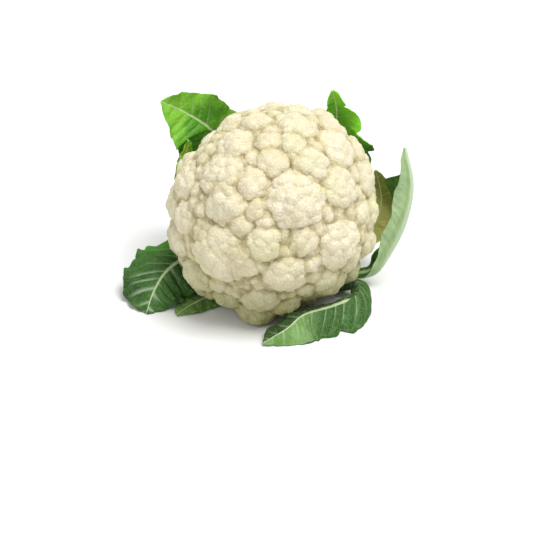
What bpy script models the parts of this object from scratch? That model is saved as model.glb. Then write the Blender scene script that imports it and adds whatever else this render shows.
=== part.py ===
"""A cauliflower head with its leaves, lying tipped towards the front on a flat surface.

Lengths are in metres, +Z is up and the front is -Y.
The curd is one body: a ball with florets raised on it, and knobs raised on each floret.
Each leaf is one body: a waved blade with a thick rib, hung on a spine of hand-chosen points.
"""

import math

import bmesh
import bpy
import numpy as np

# The head: a ball that leans towards the front and a little to the right.
CURD_RADIUS = 0.083
HEAD_HEIGHT = 0.0705
LEAN_FRONT = math.radians(27)
LEAN_RIGHT = math.radians(6)
# Where the middle of the head stands, measured from the middle of the whole outline.
HEAD_PLACE = (0.0035, -0.014)

# The view from the front that the floret list below is read in.
VIEW_ELEVATION = math.radians(30)
VIEW_DISTANCE = 0.988

# Where the head swells out of the ball or sinks in, as the view below shows it:
# across, up, how far, and the angle over which it fades.
SWELLS = (
    (0.047, 0.068, 0.0055, math.radians(34)),
    (-0.061, 0.056, -0.0135, math.radians(14)),
    (-0.082, 0.006, -0.0030, math.radians(16)),
    (-0.058, -0.059, 0.0060, math.radians(15)),
    (-0.012, -0.0815, 0.0080, math.radians(13)),
    (0.026, -0.078, -0.0110, math.radians(10)),
)

# The curd's underside: a flat floor around the stalk, inside the ring of lowest florets.
CORE_RADIUS = 0.070
UNDERSIDE_DEPTH = 0.040
BRANCH_COUNT = 11
BRANCH_HEIGHT = 0.0012

# The stalk that is left below the head.
STEM_RADIUS = 0.022
STEM_BOTTOM_RADIUS = 0.020
STEM_END_DEPTH = 0.0685
STEM_SIDES = 28
GAP = 0.0003

# A floret is a dome. Its ball is wider than the floret, so the domes meet in crevices.
FLORET_BALL = 0.530
FLORET_BALL_EXTRA = 0.0015
KNOB_REACH = 0.44
KNOB_SPACING = 0.0125
KNOB_BALL = 0.0078
KNOB_PROUD = 0.0018
GOLDEN_ANGLE = math.radians(137.508)
SEED = 7

# Florets as the front view shows them: across, up, size and how far each stands out.
SEEN_FLORETS = (
    (-0.044, -0.040, 0.059, 0.0025),
    (-0.006, -0.032, 0.031, 0.0005),
    (-0.058, -0.064, 0.032, -0.0010),
    (0.013, -0.057, 0.040, 0.0015),
    (-0.010, -0.076, 0.034, 0.0000),
    (-0.011, -0.0815, 0.030, 0.0000),
    (-0.036, -0.073, 0.028, -0.0010),
    (0.059, -0.031, 0.048, 0.0020),
    (0.027, -0.030, 0.026, -0.0015),
    (0.021, 0.005, 0.048, 0.0035),
    (-0.041, 0.028, 0.042, 0.0020),
    (-0.038, 0.004, 0.038, 0.0015),
    (-0.018, 0.019, 0.031, -0.0005),
    (0.058, 0.018, 0.040, 0.0010),
    (0.034, 0.036, 0.031, 0.0010),
    (0.001, 0.038, 0.027, 0.0000),
    (-0.001, 0.053, 0.023, -0.0010),
    (-0.030, 0.053, 0.034, 0.0010),
    (0.022, 0.067, 0.038, 0.0010),
    (-0.012, 0.072, 0.030, 0.0000),
    (-0.032, 0.072, 0.032, 0.0000),
    (0.050, 0.063, 0.034, 0.0000),
    (0.067, 0.047, 0.036, 0.0000),
    (-0.072, 0.024, 0.040, 0.0000),
    (-0.072, -0.009, 0.036, 0.0000),
    (-0.059, -0.019, 0.030, -0.0020),
    (0.019, 0.051, 0.028, -0.0005),
    (0.048, -0.004, 0.019, -0.0040),
    (0.077, -0.003, 0.036, -0.0020),
    (0.046, -0.059, 0.030, -0.0010),
    (0.034, -0.049, 0.020, -0.0035),
    (0.010, -0.027, 0.016, -0.0040),
    (-0.012, -0.004, 0.022, -0.0035),
    (-0.026, -0.015, 0.022, -0.0030),
)
# Florets on the sides that the front view doesn't show: an even spread, down to the rim.
HIDDEN_SPREAD = 92
HIDDEN_FLORET_SIZE = 0.033
HIDDEN_LOWEST = math.radians(117)
RIM_FLORETS = 17
RIM_ANGLE = math.radians(126)
RIM_SIZE = 0.026
RIM_DROP = -0.006

# The leaves. Each spine point is (x, y, z) from the point on the ground under the head's
# middle, with the way that the leaf's inner face looks there. The first point is left to
# root, which is the angle round the stalk and the depth below the head's middle.
# wide is the half-width on the left and on the right of the rib, from the blade's start
# to its tip. cup is the angle at which each half leaves the rib, and curl its further turn.
LEAF_THICKNESS = 0.0009
LEAF_ROWS = 17
LEAF_COLUMNS = 8
# How far the leaves stay from the head's middle, how deep they follow a dent of the head,
# and how far their inner faces stay above the ground.
LEAF_CLEAR = 0.0875
DENT_FOLLOWED = 0.0035
GROUND_CLEAR = 0.0009
CURVE_STEPS = 24

LEAVES = {
    "leaf_back_left": dict(
        root=(132, 0.060),
        first_face=(-0.1, 0.3, 0.9),
        spine=(
            (-0.032, 0.074, 0.036, 0.1, -0.3, 0.9),
            (-0.036, 0.086, 0.064, 0.3, -0.9, 0.3),
            (-0.040, 0.080, 0.090, 0.3, -0.9, 0.3),
            (-0.050, 0.068, 0.111, 0.25, -0.9, 0.4),
            (-0.069, 0.058, 0.129, 0.2, -0.9, 0.4),
            (-0.085, 0.047, 0.142, 0.2, -0.9, 0.4),
        ),
        start=0.34,
        left=(0.007, 0.030, 0.041, 0.040, 0.031, 0.018),
        right=(0.007, 0.017, 0.024, 0.025, 0.021, 0.012),
        clear=0.0925,
        cup=(10, 10),
        curl=(14, 12),
        ruffle=0.0025,
        ruffles=3.2,
        scallop=0.05,
        scallops=4.3,
        stalk=0.0068,
        color=(0.16, 0.36, 0.05),
    ),
    "leaf_back_right": dict(
        root=(62, 0.048),
        first_face=(0.1, 0.3, 0.9),
        spine=(
            (0.030, 0.080, 0.040, -0.1, -0.3, 0.9),
            (0.045, 0.090, 0.066, -0.3, -0.8, 0.3),
            (0.052, 0.084, 0.096, -0.3, -0.9, 0.2),
            (0.053, 0.074, 0.122, -0.3, -0.9, 0.3),
            (0.049, 0.064, 0.144, -0.3, -0.9, 0.4),
        ),
        start=0.30,
        left=(0.007, 0.022, 0.026, 0.020, 0.012, 0.008),
        right=(0.007, 0.027, 0.038, 0.036, 0.019, 0.012),
        cup=(20, 10),
        curl=(26, 0),
        ruffle=0.0045,
        ruffles=4.5,
        scallop=0.13,
        scallops=4.5,
        stalk=0.0062,
        color=(0.14, 0.33, 0.05),
    ),
    "leaf_right": dict(
        root=(10, 0.060),
        first_face=(0.0, -0.2, 1.0),
        spine=(
            (0.050, 0.016, 0.009, 0.0, 0.0, 1.0),
            (0.078, 0.007, 0.013, -0.5, 0.0, 0.9),
            (0.092, 0.004, 0.034, -0.9, 0.2, 0.2),
            (0.103, 0.003, 0.062, -0.9, 0.4, 0.1),
            (0.107, 0.003, 0.092, -0.9, 0.4, 0.0),
            (0.101, 0.003, 0.122, -0.9, 0.4, 0.0),
        ),
        start=0.36,
        left=(0.007, 0.012, 0.016, 0.028, 0.014, 0.005),
        right=(0.007, 0.008, 0.011, 0.012, 0.010, 0.005),
        cup=(62, 55),
        curl=(10, 10),
        ruffle=0.0015,
        ruffles=3.0,
        scallop=0.05,
        scallops=3.4,
        stalk=0.0070,
        color=(0.22, 0.34, 0.12),
    ),
    "leaf_right_inner": dict(
        root=(34, 0.048),
        first_face=(0.0, 0.0, 1.0),
        spine=(
            (0.046, 0.046, 0.024, -0.2, -0.2, 1.0),
            (0.074, 0.044, 0.027, -0.6, -0.8, 0.5),
            (0.087, 0.042, 0.042, -0.6, -0.8, 0.2),
            (0.089, 0.042, 0.062, -0.6, -0.8, 0.1),
            (0.084, 0.044, 0.084, -0.6, -0.8, 0.1),
        ),
        start=0.34,
        left=(0.006, 0.011, 0.014, 0.015, 0.012, 0.007),
        right=(0.006, 0.010, 0.012, 0.013, 0.012, 0.007),
        cup=(5, 5),
        curl=(5, 5),
        ruffle=0.0015,
        ruffles=3.0,
        scallop=0.06,
        scallops=3.0,
        stalk=0.0052,
        color=(0.40, 0.46, 0.16),
    ),
    "leaf_front_right": dict(
        root=(330, 0.060),
        first_face=(0.2, -0.3, 0.9),
        spine=(
            (0.046, 0.000, 0.009, 0.1, 0.0, 1.0),
            (0.066, -0.016, 0.016, 0.3, -0.2, 1.0),
            (0.064, -0.035, 0.019, 0.2, -0.3, 1.0),
            (0.046, -0.049, 0.018, 0.1, -0.4, 1.0),
            (0.025, -0.064, 0.016, 0.0, -0.4, 1.0),
            (0.012, -0.074, 0.010, 0.0, -0.3, 1.0),
            (-0.006, -0.083, 0.003, 0.0, -0.3, 1.0),
        ),
        start=0.32,
        left=(0.007, 0.014, 0.026, 0.031, 0.026, 0.019, 0.010),
        right=(0.007, 0.012, 0.014, 0.013, 0.015, 0.020, 0.010),
        cup=(-20, -20),
        curl=(-20, -10),
        ruffle=0.0025,
        ruffles=3.0,
        scallop=0.07,
        scallops=3.0,
        stalk=0.0066,
        color=(0.12, 0.26, 0.07),
    ),
    "leaf_front_left": dict(
        root=(203, 0.060),
        first_face=(-0.1, -0.1, 1.0),
        spine=(
            (-0.046, 0.016, 0.015, 0.0, -0.3, 1.0),
            (-0.070, 0.006, 0.023, -0.1, -0.5, 0.8),
            (-0.083, -0.011, 0.022, -0.1, -0.5, 0.8),
            (-0.092, -0.026, 0.012, -0.1, -0.5, 0.8),
            (-0.097, -0.038, 0.000, -0.1, -0.5, 0.8),
        ),
        start=0.36,
        left=(0.007, 0.024, 0.029, 0.026, 0.022, 0.015),
        right=(0.007, 0.032, 0.034, 0.033, 0.029, 0.018),
        cup=(-5, -5),
        curl=(-15, -10),
        ruffle=0.0025,
        ruffles=3.0,
        scallop=0.05,
        scallops=3.4,
        stalk=0.0066,
        color=(0.05, 0.13, 0.05),
    ),
    "leaf_front_left_under": dict(
        root=(262, 0.050),
        first_face=(0.0, 0.0, 1.0),
        spine=(
            (-0.040, -0.010, 0.005, 0.0, 0.0, 1.0),
            (-0.058, -0.024, 0.003, 0.0, -0.2, 1.0),
            (-0.067, -0.033, 0.002, 0.0, -0.2, 1.0),
            (-0.073, -0.041, 0.001, 0.0, -0.2, 1.0),
        ),
        start=0.32,
        left=(0.006, 0.011, 0.014, 0.014, 0.011, 0.006),
        right=(0.006, 0.012, 0.015, 0.015, 0.011, 0.006),
        cup=(0, 0),
        curl=(0, 0),
        ruffle=0.0015,
        ruffles=3.0,
        scallop=0.06,
        scallops=3.0,
        stalk=0.0055,
        color=(0.05, 0.12, 0.05),
    ),
    "leaf_back_left_inner": dict(
        root=(158, 0.048),
        first_face=(0.0, 0.0, 1.0),
        spine=(
            (-0.048, 0.052, 0.028, 0.3, -0.2, 1.0),
            (-0.068, 0.054, 0.056, 0.8, -0.5, 0.3),
            (-0.070, 0.050, 0.084, 0.7, -0.7, 0.2),
            (-0.065, 0.047, 0.109, 0.7, -0.7, 0.2),
        ),
        start=0.36,
        left=(0.005, 0.010, 0.013, 0.012, 0.010, 0.006),
        right=(0.005, 0.010, 0.013, 0.012, 0.010, 0.006),
        cup=(8, 8),
        curl=(10, 10),
        ruffle=0.0015,
        ruffles=3.0,
        scallop=0.06,
        scallops=3.2,
        stalk=0.0050,
        color=(0.34, 0.44, 0.12),
    ),
    "leaf_back": dict(
        root=(92, 0.060),
        first_face=(0.0, 0.3, 0.9),
        spine=(
            (-0.002, 0.078, 0.006, 0.0, -0.1, 0.9),
            (0.001, 0.101, 0.020, 0.0, -0.9, 0.5),
            (0.003, 0.108, 0.050, 0.0, -0.9, 0.1),
            (0.004, 0.104, 0.082, 0.0, -0.9, 0.1),
            (0.005, 0.092, 0.112, 0.0, -0.9, 0.2),
        ),
        start=0.38,
        left=(0.007, 0.024, 0.034, 0.034, 0.026, 0.014),
        right=(0.007, 0.024, 0.034, 0.034, 0.026, 0.014),
        cup=(15, 15),
        curl=(10, 10),
        ruffle=0.0030,
        ruffles=4.0,
        scallop=0.06,
        scallops=4.3,
        stalk=0.0070,
        color=(0.12, 0.28, 0.06),
    ),
}

# The cut stalks of trimmed leaves: only a stalk, with no blade.
CUT_STALKS = {
    "cut_stalk_left": dict(root=(237, 0.060), reach=0.016, droop=-0.003),
    "cut_stalk_front": dict(root=(294, 0.056), reach=0.014, droop=-0.002),
}
CUT_STALK_WIDTH = 0.0062
CUT_STALK_ROWS = 5
STALK_COLOR = (0.62, 0.66, 0.42)


def unit(vector):
    vector = np.asarray(vector, float)
    return vector / np.linalg.norm(vector)


HEAD_CENTRE = np.array((HEAD_PLACE[0], HEAD_PLACE[1], HEAD_HEIGHT))
GROUND_POINT = np.array((HEAD_PLACE[0], HEAD_PLACE[1], 0.0))
HEAD_AXIS = np.array(
    (
        math.sin(LEAN_RIGHT),
        -math.sin(LEAN_FRONT) * math.cos(LEAN_RIGHT),
        math.cos(LEAN_FRONT) * math.cos(LEAN_RIGHT),
    )
)
SIDE_AXIS = unit(np.array((1.0, 0.0, 0.0)) - HEAD_AXIS[0] * HEAD_AXIS)
BACK_AXIS = np.cross(HEAD_AXIS, SIDE_AXIS)
VIEW_RIGHT = np.array((1.0, 0.0, 0.0))
VIEW_UP = np.array((0.0, math.sin(VIEW_ELEVATION), math.cos(VIEW_ELEVATION)))
VIEW_TOWARDS = np.array((0.0, -math.cos(VIEW_ELEVATION), math.sin(VIEW_ELEVATION)))


def clear_scene():
    for thing in list(bpy.data.objects):
        bpy.data.objects.remove(thing, do_unlink=True)


def make_material(name, color, roughness):
    material = bpy.data.materials.new(name)
    material.use_nodes = True
    shader = material.node_tree.nodes["Principled BSDF"]
    shader.inputs["Base Color"].default_value = (*color, 1.0)
    shader.inputs["Roughness"].default_value = roughness
    shader.inputs["Metallic"].default_value = 0.0
    return material


def add_object(name, mesh, color, roughness):
    thing = bpy.data.objects.new(name, mesh)
    bpy.context.scene.collection.objects.link(thing)
    mesh.materials.append(make_material(name, color, roughness))
    mesh.shade_smooth()
    return thing


def facing_direction(across, up):
    """Direction from the head's middle to the curd's point that the view shows at across, up."""
    towards = math.sqrt(max(CURD_RADIUS**2 - across**2 - up**2, 0.0))
    nearer = 1.0 - towards / VIEW_DISTANCE
    side, height = across * nearer, up * nearer
    towards = math.sqrt(max(CURD_RADIUS**2 - side**2 - height**2, 0.0))
    return unit(side * VIEW_RIGHT + height * VIEW_UP + towards * VIEW_TOWARDS)


def swell(directions):
    """How far the head stands out of its ball along each unit direction."""
    total = np.zeros(directions.shape[:-1])
    for across, up, amount, fade in SWELLS:
        angle = np.arccos(np.clip(directions @ facing_direction(across, up), -1.0, 1.0))
        total = total + amount * np.exp(-((angle / fade) ** 2))
    return total


def head_direction(polar, turn):
    """Direction at the angle polar from the head's axis, turned round it from the right side."""
    around = math.cos(turn) * SIDE_AXIS + math.sin(turn) * BACK_AXIS
    return math.cos(polar) * HEAD_AXIS + math.sin(polar) * around


def floret_list():
    """Every floret's direction, size and how far it stands out of the ball."""
    florets = []
    for across, up, size, proud in SEEN_FLORETS:
        florets.append((facing_direction(across, up), size, proud))
    draw = np.random.default_rng(SEED)
    for number in range(HIDDEN_SPREAD):
        height = 1.0 - 2.0 * (number + 0.5) / HIDDEN_SPREAD
        polar = math.acos(height)
        direction = head_direction(polar, number * GOLDEN_ANGLE)
        size = HIDDEN_FLORET_SIZE * draw.uniform(0.8, 1.2)
        proud = draw.uniform(-0.001, 0.002)
        if polar > HIDDEN_LOWEST:
            continue
        nearest = max(float(direction @ other) for other, _, _ in florets)
        if nearest < math.cos(0.62 * HIDDEN_FLORET_SIZE / CURD_RADIUS):
            florets.append((direction, size, proud))
    for number in range(RIM_FLORETS):
        turn = 2.0 * math.pi * number / RIM_FLORETS
        florets.append((head_direction(RIM_ANGLE, turn), RIM_SIZE, RIM_DROP))
    return florets


def curd_balls():
    """The balls that make the curd: one for each floret and several knobs on it."""
    balls = []
    for direction, size, proud in floret_list():
        radius = FLORET_BALL * size + FLORET_BALL_EXTRA
        middle = direction * (CURD_RADIUS + swell(direction) + proud - radius)
        balls.append((middle, radius - 0.5 * KNOB_PROUD))
        side = unit(np.cross(direction, (0.3, 0.5, 0.8)))
        other = np.cross(direction, side)
        span = math.asin(KNOB_REACH * size / radius)
        knobs = max(3, round((2.0 * radius * math.sin(span / 2.0) / KNOB_SPACING) ** 2 * math.pi))
        for number in range(knobs):
            tilt = math.acos(1.0 - (1.0 - math.cos(span)) * (number + 0.5) / knobs)
            turn = number * GOLDEN_ANGLE
            out = math.cos(tilt) * direction + math.sin(tilt) * (math.cos(turn) * side + math.sin(turn) * other)
            balls.append((middle + out * (radius + KNOB_PROUD - KNOB_BALL), KNOB_BALL))
    return balls


def curd_reach(directions):
    """Distance from the head's middle to the curd's surface along each unit direction."""
    along = directions @ HEAD_AXIS
    down = np.maximum(-along, 1e-6)
    floor = UNDERSIDE_DEPTH / down
    turn = np.arctan2(directions @ BACK_AXIS, directions @ SIDE_AXIS)
    outward = np.clip((floor * np.sqrt(1.0 - along**2) - 1.3 * STEM_RADIUS) / STEM_RADIUS, 0.0, 1.0)
    floor = floor + BRANCH_HEIGHT * outward * np.cos(BRANCH_COUNT * turn)
    reach = np.minimum(CORE_RADIUS, floor)
    for middle, radius in curd_balls():
        forward = directions @ middle
        inside = radius**2 - (middle @ middle - forward**2)
        hit = forward + np.sqrt(np.maximum(inside, 0.0))
        reach = np.where(inside > 0.0, np.maximum(reach, hit), reach)
    return reach


def make_curd():
    mesh = bpy.data.meshes.new("curd")
    shape = bmesh.new()
    bmesh.ops.create_icosphere(shape, subdivisions=3, radius=1.0)
    bmesh.ops.subdivide_edges(shape, edges=shape.edges[:], cuts=4, use_grid_fill=True)
    bmesh.ops.triangulate(shape, faces=shape.faces[:])
    directions = np.array([vert.co[:] for vert in shape.verts])
    directions /= np.linalg.norm(directions, axis=1)[:, None]
    places = HEAD_CENTRE + directions * curd_reach(directions)[:, None]
    places[:, 2] = np.maximum(places[:, 2], 0.0)
    for vert, place in zip(shape.verts, places):
        vert.co = place
    bmesh.ops.recalc_face_normals(shape, faces=shape.faces[:])
    shape.to_mesh(mesh)
    shape.free()
    return add_object("curd", mesh, (0.86, 0.80, 0.62), 0.75)


def make_stem():
    """A short stalk with a cut end; where it meets the ground its edge is flat."""
    mesh = bpy.data.meshes.new("stem")
    shape = bmesh.new()
    top = UNDERSIDE_DEPTH + GAP
    rings = []
    for part, radius in ((0.0, STEM_RADIUS), (0.5, STEM_RADIUS), (1.0, STEM_BOTTOM_RADIUS)):
        depth = top + part * (STEM_END_DEPTH - top)
        ring = []
        for number in range(STEM_SIDES):
            turn = 2.0 * math.pi * number / STEM_SIDES
            side = math.cos(turn) * SIDE_AXIS + math.sin(turn) * BACK_AXIS
            place = HEAD_CENTRE - depth * HEAD_AXIS + radius * side
            place[2] = max(place[2], 0.0)
            ring.append(shape.verts.new(place))
        rings.append(ring)
    for upper, lower in zip(rings, rings[1:]):
        for number in range(STEM_SIDES):
            after = (number + 1) % STEM_SIDES
            shape.faces.new((upper[number], upper[after], lower[after], lower[number]))
    shape.faces.new(rings[0])
    shape.faces.new(rings[-1])
    bmesh.ops.triangulate(shape, faces=shape.faces[:])
    bmesh.ops.recalc_face_normals(shape, faces=shape.faces[:])
    shape.to_mesh(mesh)
    shape.free()
    return add_object("stem", mesh, (0.72, 0.72, 0.50), 0.6)


def stalk_root(turn_degrees, depth, out):
    """A point beside the stem, at a depth below the head's middle and out from the axis."""
    turn = math.radians(turn_degrees)
    side = math.cos(turn) * SIDE_AXIS + math.sin(turn) * BACK_AXIS
    return HEAD_CENTRE - depth * HEAD_AXIS + out * side


def smooth_through(values, x):
    """A smooth curve through evenly spaced values (numbers or rows), read at x from 0 to 1."""
    values = np.asarray(values, float)
    last = len(values) - 1
    padded = np.concatenate([2 * values[:1] - values[1:2], values, 2 * values[-1:] - values[-2:-1]])
    place = np.clip(x, 0.0, 1.0) * last
    start = np.minimum(place.astype(int), last - 1)
    t = (place - start).reshape((-1,) + (1,) * (values.ndim - 1))
    before, here, after, beyond = (padded[start + step] for step in range(4))
    straight = 2 * here + (after - before) * t
    bend = (2 * before - 5 * here + 4 * after - beyond) * t**2
    twist = (3 * here - before - 3 * after + beyond) * t**3
    return 0.5 * (straight + bend + twist)


def spine_at(rows, along):
    """Rows of the spine's curve, spaced by its length, at along from 0 to 1."""
    fine = smooth_through(rows, np.linspace(0.0, 1.0, CURVE_STEPS * len(rows)))
    steps = np.linalg.norm(np.diff(fine[:, :3], axis=0), axis=1)
    length = np.concatenate([[0.0], np.cumsum(steps)])
    length /= length[-1]
    return np.stack([np.interp(along, length, column) for column in fine.T], axis=-1)


def keep_clear_of_head(places, clear):
    """Moves points outwards until they are outside the curd and its rim."""
    arms = places - HEAD_CENTRE
    distance = np.linalg.norm(arms, axis=-1)
    polar = np.degrees(np.arccos(np.clip(arms @ HEAD_AXIS / distance, -1.0, 1.0)))
    limits = (clear, clear, 0.0830, 0.0660, 0.0500, 0.0450)
    needed = np.interp(polar, (0, 118, 130, 142, 155, 180), limits)
    needed = needed + np.maximum(swell(arms / distance[..., None]), -DENT_FOLLOWED)
    return HEAD_CENTRE + arms * np.maximum(1.0, needed / distance)[..., None]


def keep_clear_of_stem(places):
    """Moves points beside the stem outwards until they are a gap away from its side."""
    arms = places - HEAD_CENTRE
    depth = -(arms @ HEAD_AXIS)
    across = arms + depth[..., None] * HEAD_AXIS
    distance = np.linalg.norm(across, axis=-1)
    beside = (depth > UNDERSIDE_DEPTH - STEM_RADIUS) & (depth < STEM_END_DEPTH + STEM_RADIUS)
    grown = np.maximum(1.0, (STEM_RADIUS + GAP) / distance)
    moved = HEAD_CENTRE - depth[..., None] * HEAD_AXIS + across * grown[..., None]
    return np.where(beside[..., None], moved, places)


def above_ground(height):
    """Eases heights near the ground so that they end a blade's thickness above it."""
    ease = 0.0008
    return GROUND_CLEAR + ease * np.logaddexp(0.0, (height - GROUND_CLEAR) / ease)


def leaf_rows(leaf):
    """The leaf's spine: its root beside the stem, then the hand-chosen points."""
    root = stalk_root(*leaf["root"], STEM_RADIUS + GAP)
    first = [*root, *leaf["first_face"]]
    rest = [[*(np.array(point[:3]) + GROUND_POINT), *point[3:]] for point in leaf["spine"]]
    return np.array([first] + rest)


def leaf_width(leaf, hand, x, along):
    """Half-width of the blade at x from its start to its tip, or of the stalk before it."""
    blade = smooth_through(leaf["left" if hand < 0 else "right"], x)
    edge = 1.0 + leaf["scallop"] * np.sin(2.0 * math.pi * leaf["scallops"] * x + 2.1 * (hand > 0))
    round_tip = np.sqrt(np.clip(1.0 - x**7, 0.0, 1.0))
    stalk = leaf["stalk"] * (1.0 - 0.85 * along)
    return np.maximum(blade * edge * round_tip, stalk)


def leaf_surface(leaf, along, across):
    """Points of the leaf's inner face, one row for each along and one column for each across."""
    rows = spine_at(leaf_rows(leaf), along)
    middle, face = rows[:, :3], rows[:, 3:]
    tangent = np.gradient(middle, along, axis=0)
    tangent /= np.linalg.norm(tangent, axis=1)[:, None]
    face = face - (face * tangent).sum(axis=1)[:, None] * tangent
    face /= np.linalg.norm(face, axis=1)[:, None]
    side = np.cross(tangent, face)
    x = np.clip((along - leaf["start"]) / (1.0 - leaf["start"]), 0.0, 1.0)
    opening = np.clip(x * 6.0, 0.0, 1.0)
    ending = np.clip((1.0 - x) * 5.0, 0.0, 1.0)
    columns = []
    for share in across:
        hand = -1.0 if share < 0 else 1.0
        out = abs(share) ** (1.0 + 0.6 * opening)
        width = leaf_width(leaf, hand, x, along)
        cup = math.radians(leaf["cup"][0 if hand < 0 else 1])
        curl = math.radians(leaf["curl"][0 if hand < 0 else 1]) * opening
        turn = cup * opening + 0.5 * curl * out
        wave = leaf["ruffle"] * out**2 * opening * ending
        wave = wave * np.sin(2.0 * math.pi * leaf["ruffles"] * x + 1.3 * (hand > 0))
        sideways = (hand * out * width * np.cos(turn))[:, None] * side
        lifted = (out * width * np.sin(turn) + wave)[:, None] * face
        columns.append(middle + sideways + lifted)
    places = keep_clear_of_head(np.stack(columns, axis=1), leaf.get("clear", LEAF_CLEAR))
    places = keep_clear_of_stem(places)
    places[..., 2] = above_ground(places[..., 2])
    return places


def leaf_depth(leaf, along, across):
    """Thickness behind the inner face: the rib in the middle, thin at the edges."""
    x = np.clip((along - leaf["start"]) / (1.0 - leaf["start"]), 0.0, 1.0)
    opening = np.clip(x * 6.0, 0.0, 1.0)
    rib_width = leaf["stalk"] * (1.0 - 0.75 * along)
    rib_height = 1.15 * leaf["stalk"] * (1.0 - 0.88 * along**0.8)
    depths = []
    for share in across:
        hand = -1.0 if share < 0 else 1.0
        out = abs(share) ** (1.0 + 0.6 * opening) * leaf_width(leaf, hand, x, along)
        hump = np.cos(0.5 * math.pi * np.clip(out / rib_width, 0.0, 1.0))
        depths.append(LEAF_THICKNESS + rib_height * hump)
    return np.stack(depths, axis=1)


def closed_leaf(name, inner, depth):
    """A closed mesh between the inner face and the same grid moved outwards by depth."""
    down = np.gradient(inner, axis=0)
    sideways = np.gradient(inner, axis=1)
    normal = np.cross(sideways, down)
    normal /= np.linalg.norm(normal, axis=-1)[..., None]
    outer = keep_clear_of_stem(inner - normal * depth[..., None])
    outer[..., 2] = np.maximum(outer[..., 2], 0.0)
    rows, columns = inner.shape[:2]
    mesh = bpy.data.meshes.new(name)
    shape = bmesh.new()
    front = [[shape.verts.new(place) for place in row] for row in inner]
    back = [[shape.verts.new(place) for place in row] for row in outer]
    for i in range(rows - 1):
        for j in range(columns - 1):
            for grid, turned in ((front, False), (back, True)):
                a, b, c, d = grid[i][j], grid[i][j + 1], grid[i + 1][j + 1], grid[i + 1][j]
                for corners in ((a, b, c), (a, c, d)):
                    shape.faces.new(corners[::-1] if turned else corners)
    edge = [(i, 0) for i in range(rows)]
    edge += [(rows - 1, j) for j in range(1, columns)]
    edge += [(i, columns - 1) for i in range(rows - 2, -1, -1)]
    edge += [(0, j) for j in range(columns - 2, 0, -1)]
    for (i, j), (k, m) in zip(edge, edge[1:] + edge[:1]):
        shape.faces.new((front[i][j], front[k][m], back[k][m]))
        shape.faces.new((front[i][j], back[k][m], back[i][j]))
    bmesh.ops.recalc_face_normals(shape, faces=shape.faces[:])
    shape.to_mesh(mesh)
    shape.free()
    return mesh


def make_leaf(name, leaf):
    along = np.linspace(0.0, 1.0, LEAF_ROWS) ** 0.9
    across = np.linspace(-1.0, 1.0, LEAF_COLUMNS + 1)
    inner = leaf_surface(leaf, along, across)
    mesh = closed_leaf(name, inner, leaf_depth(leaf, along, across))
    return add_object(name, mesh, leaf["color"], 0.5)


def make_cut_stalk(name, stalk):
    """The short end of a trimmed leaf's stalk, reaching out from the stem."""
    turn, depth = stalk["root"]
    start = stalk_root(turn, depth, STEM_RADIUS + GAP)
    end = stalk_root(turn, depth, STEM_RADIUS + GAP + stalk["reach"]) + np.array((0.0, 0.0, stalk["droop"]))
    tangent = unit(end - start)
    side = unit(np.cross(tangent, HEAD_AXIS))
    normal = np.cross(side, tangent)
    rows = []
    for along in np.linspace(0.0, 1.0, CUT_STALK_ROWS):
        width = CUT_STALK_WIDTH * (1.0 - 0.25 * along)
        middle = start + along * (end - start)
        row = [middle + share * width * side - 0.12 * width * (1.0 - share**2) * normal
               for share in np.linspace(-1.0, 1.0, LEAF_COLUMNS + 1)]
        rows.append(row)
    inner = np.array(rows)
    inner[..., 2] = np.maximum(inner[..., 2], GROUND_CLEAR)
    shares = np.linspace(-1.0, 1.0, LEAF_COLUMNS + 1)
    hump = LEAF_THICKNESS + CUT_STALK_WIDTH * np.sqrt(1.0 - shares**2)
    depth_grid = np.repeat(hump[None], CUT_STALK_ROWS, axis=0)
    mesh = closed_leaf(name, inner, depth_grid)
    return add_object(name, mesh, STALK_COLOR, 0.5)


def main():
    clear_scene()
    make_curd()
    make_stem()
    for name, leaf in LEAVES.items():
        make_leaf(name, leaf)
    for name, stalk in CUT_STALKS.items():
        make_cut_stalk(name, stalk)


main()
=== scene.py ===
"""A cauliflower head with its leaves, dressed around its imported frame.

The curd's florets, knobs and grains, the waved and veined leaves, the stalk and a plain
studio are made here. Lengths are in metres, +Z is up and the front is -Y.
"""

import math

import bpy
import numpy as np
from bpy.props import FloatProperty, FloatVectorProperty, IntProperty, PointerProperty
from mathutils import Matrix


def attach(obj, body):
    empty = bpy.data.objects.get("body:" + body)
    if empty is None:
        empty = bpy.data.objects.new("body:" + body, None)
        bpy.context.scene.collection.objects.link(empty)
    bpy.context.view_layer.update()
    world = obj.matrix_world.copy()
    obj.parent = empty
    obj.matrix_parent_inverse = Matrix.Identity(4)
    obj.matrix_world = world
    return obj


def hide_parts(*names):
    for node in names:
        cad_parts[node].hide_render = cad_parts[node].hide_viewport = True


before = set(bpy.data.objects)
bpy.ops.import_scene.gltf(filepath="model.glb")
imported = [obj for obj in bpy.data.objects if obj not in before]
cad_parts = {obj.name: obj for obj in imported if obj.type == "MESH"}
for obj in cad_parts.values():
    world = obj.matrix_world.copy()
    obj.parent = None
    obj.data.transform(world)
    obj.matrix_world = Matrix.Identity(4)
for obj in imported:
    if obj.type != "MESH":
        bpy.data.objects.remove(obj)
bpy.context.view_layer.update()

bl_info = {
    "name": "Cauliflower Head",
    "version": (1, 0, 0),
    "blender": (4, 5, 0),
    "location": "View3D > Sidebar > Cauliflower",
    "description": "Adds a cauliflower head with its florets, stalk and leaves",
    "category": "Add Mesh",
}

BODY = "root"

# The head: a ball that leans towards the front and a little to the right.
CURD_RADIUS = 0.083
HEAD_HEIGHT = 0.0705
LEAN_FRONT = math.radians(27)
LEAN_RIGHT = math.radians(6)
HEAD_PLACE = (0.0035, -0.014)

# The view from the front that the floret list is read in.
VIEW_ELEVATION = math.radians(30)
VIEW_DISTANCE = 0.988

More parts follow.
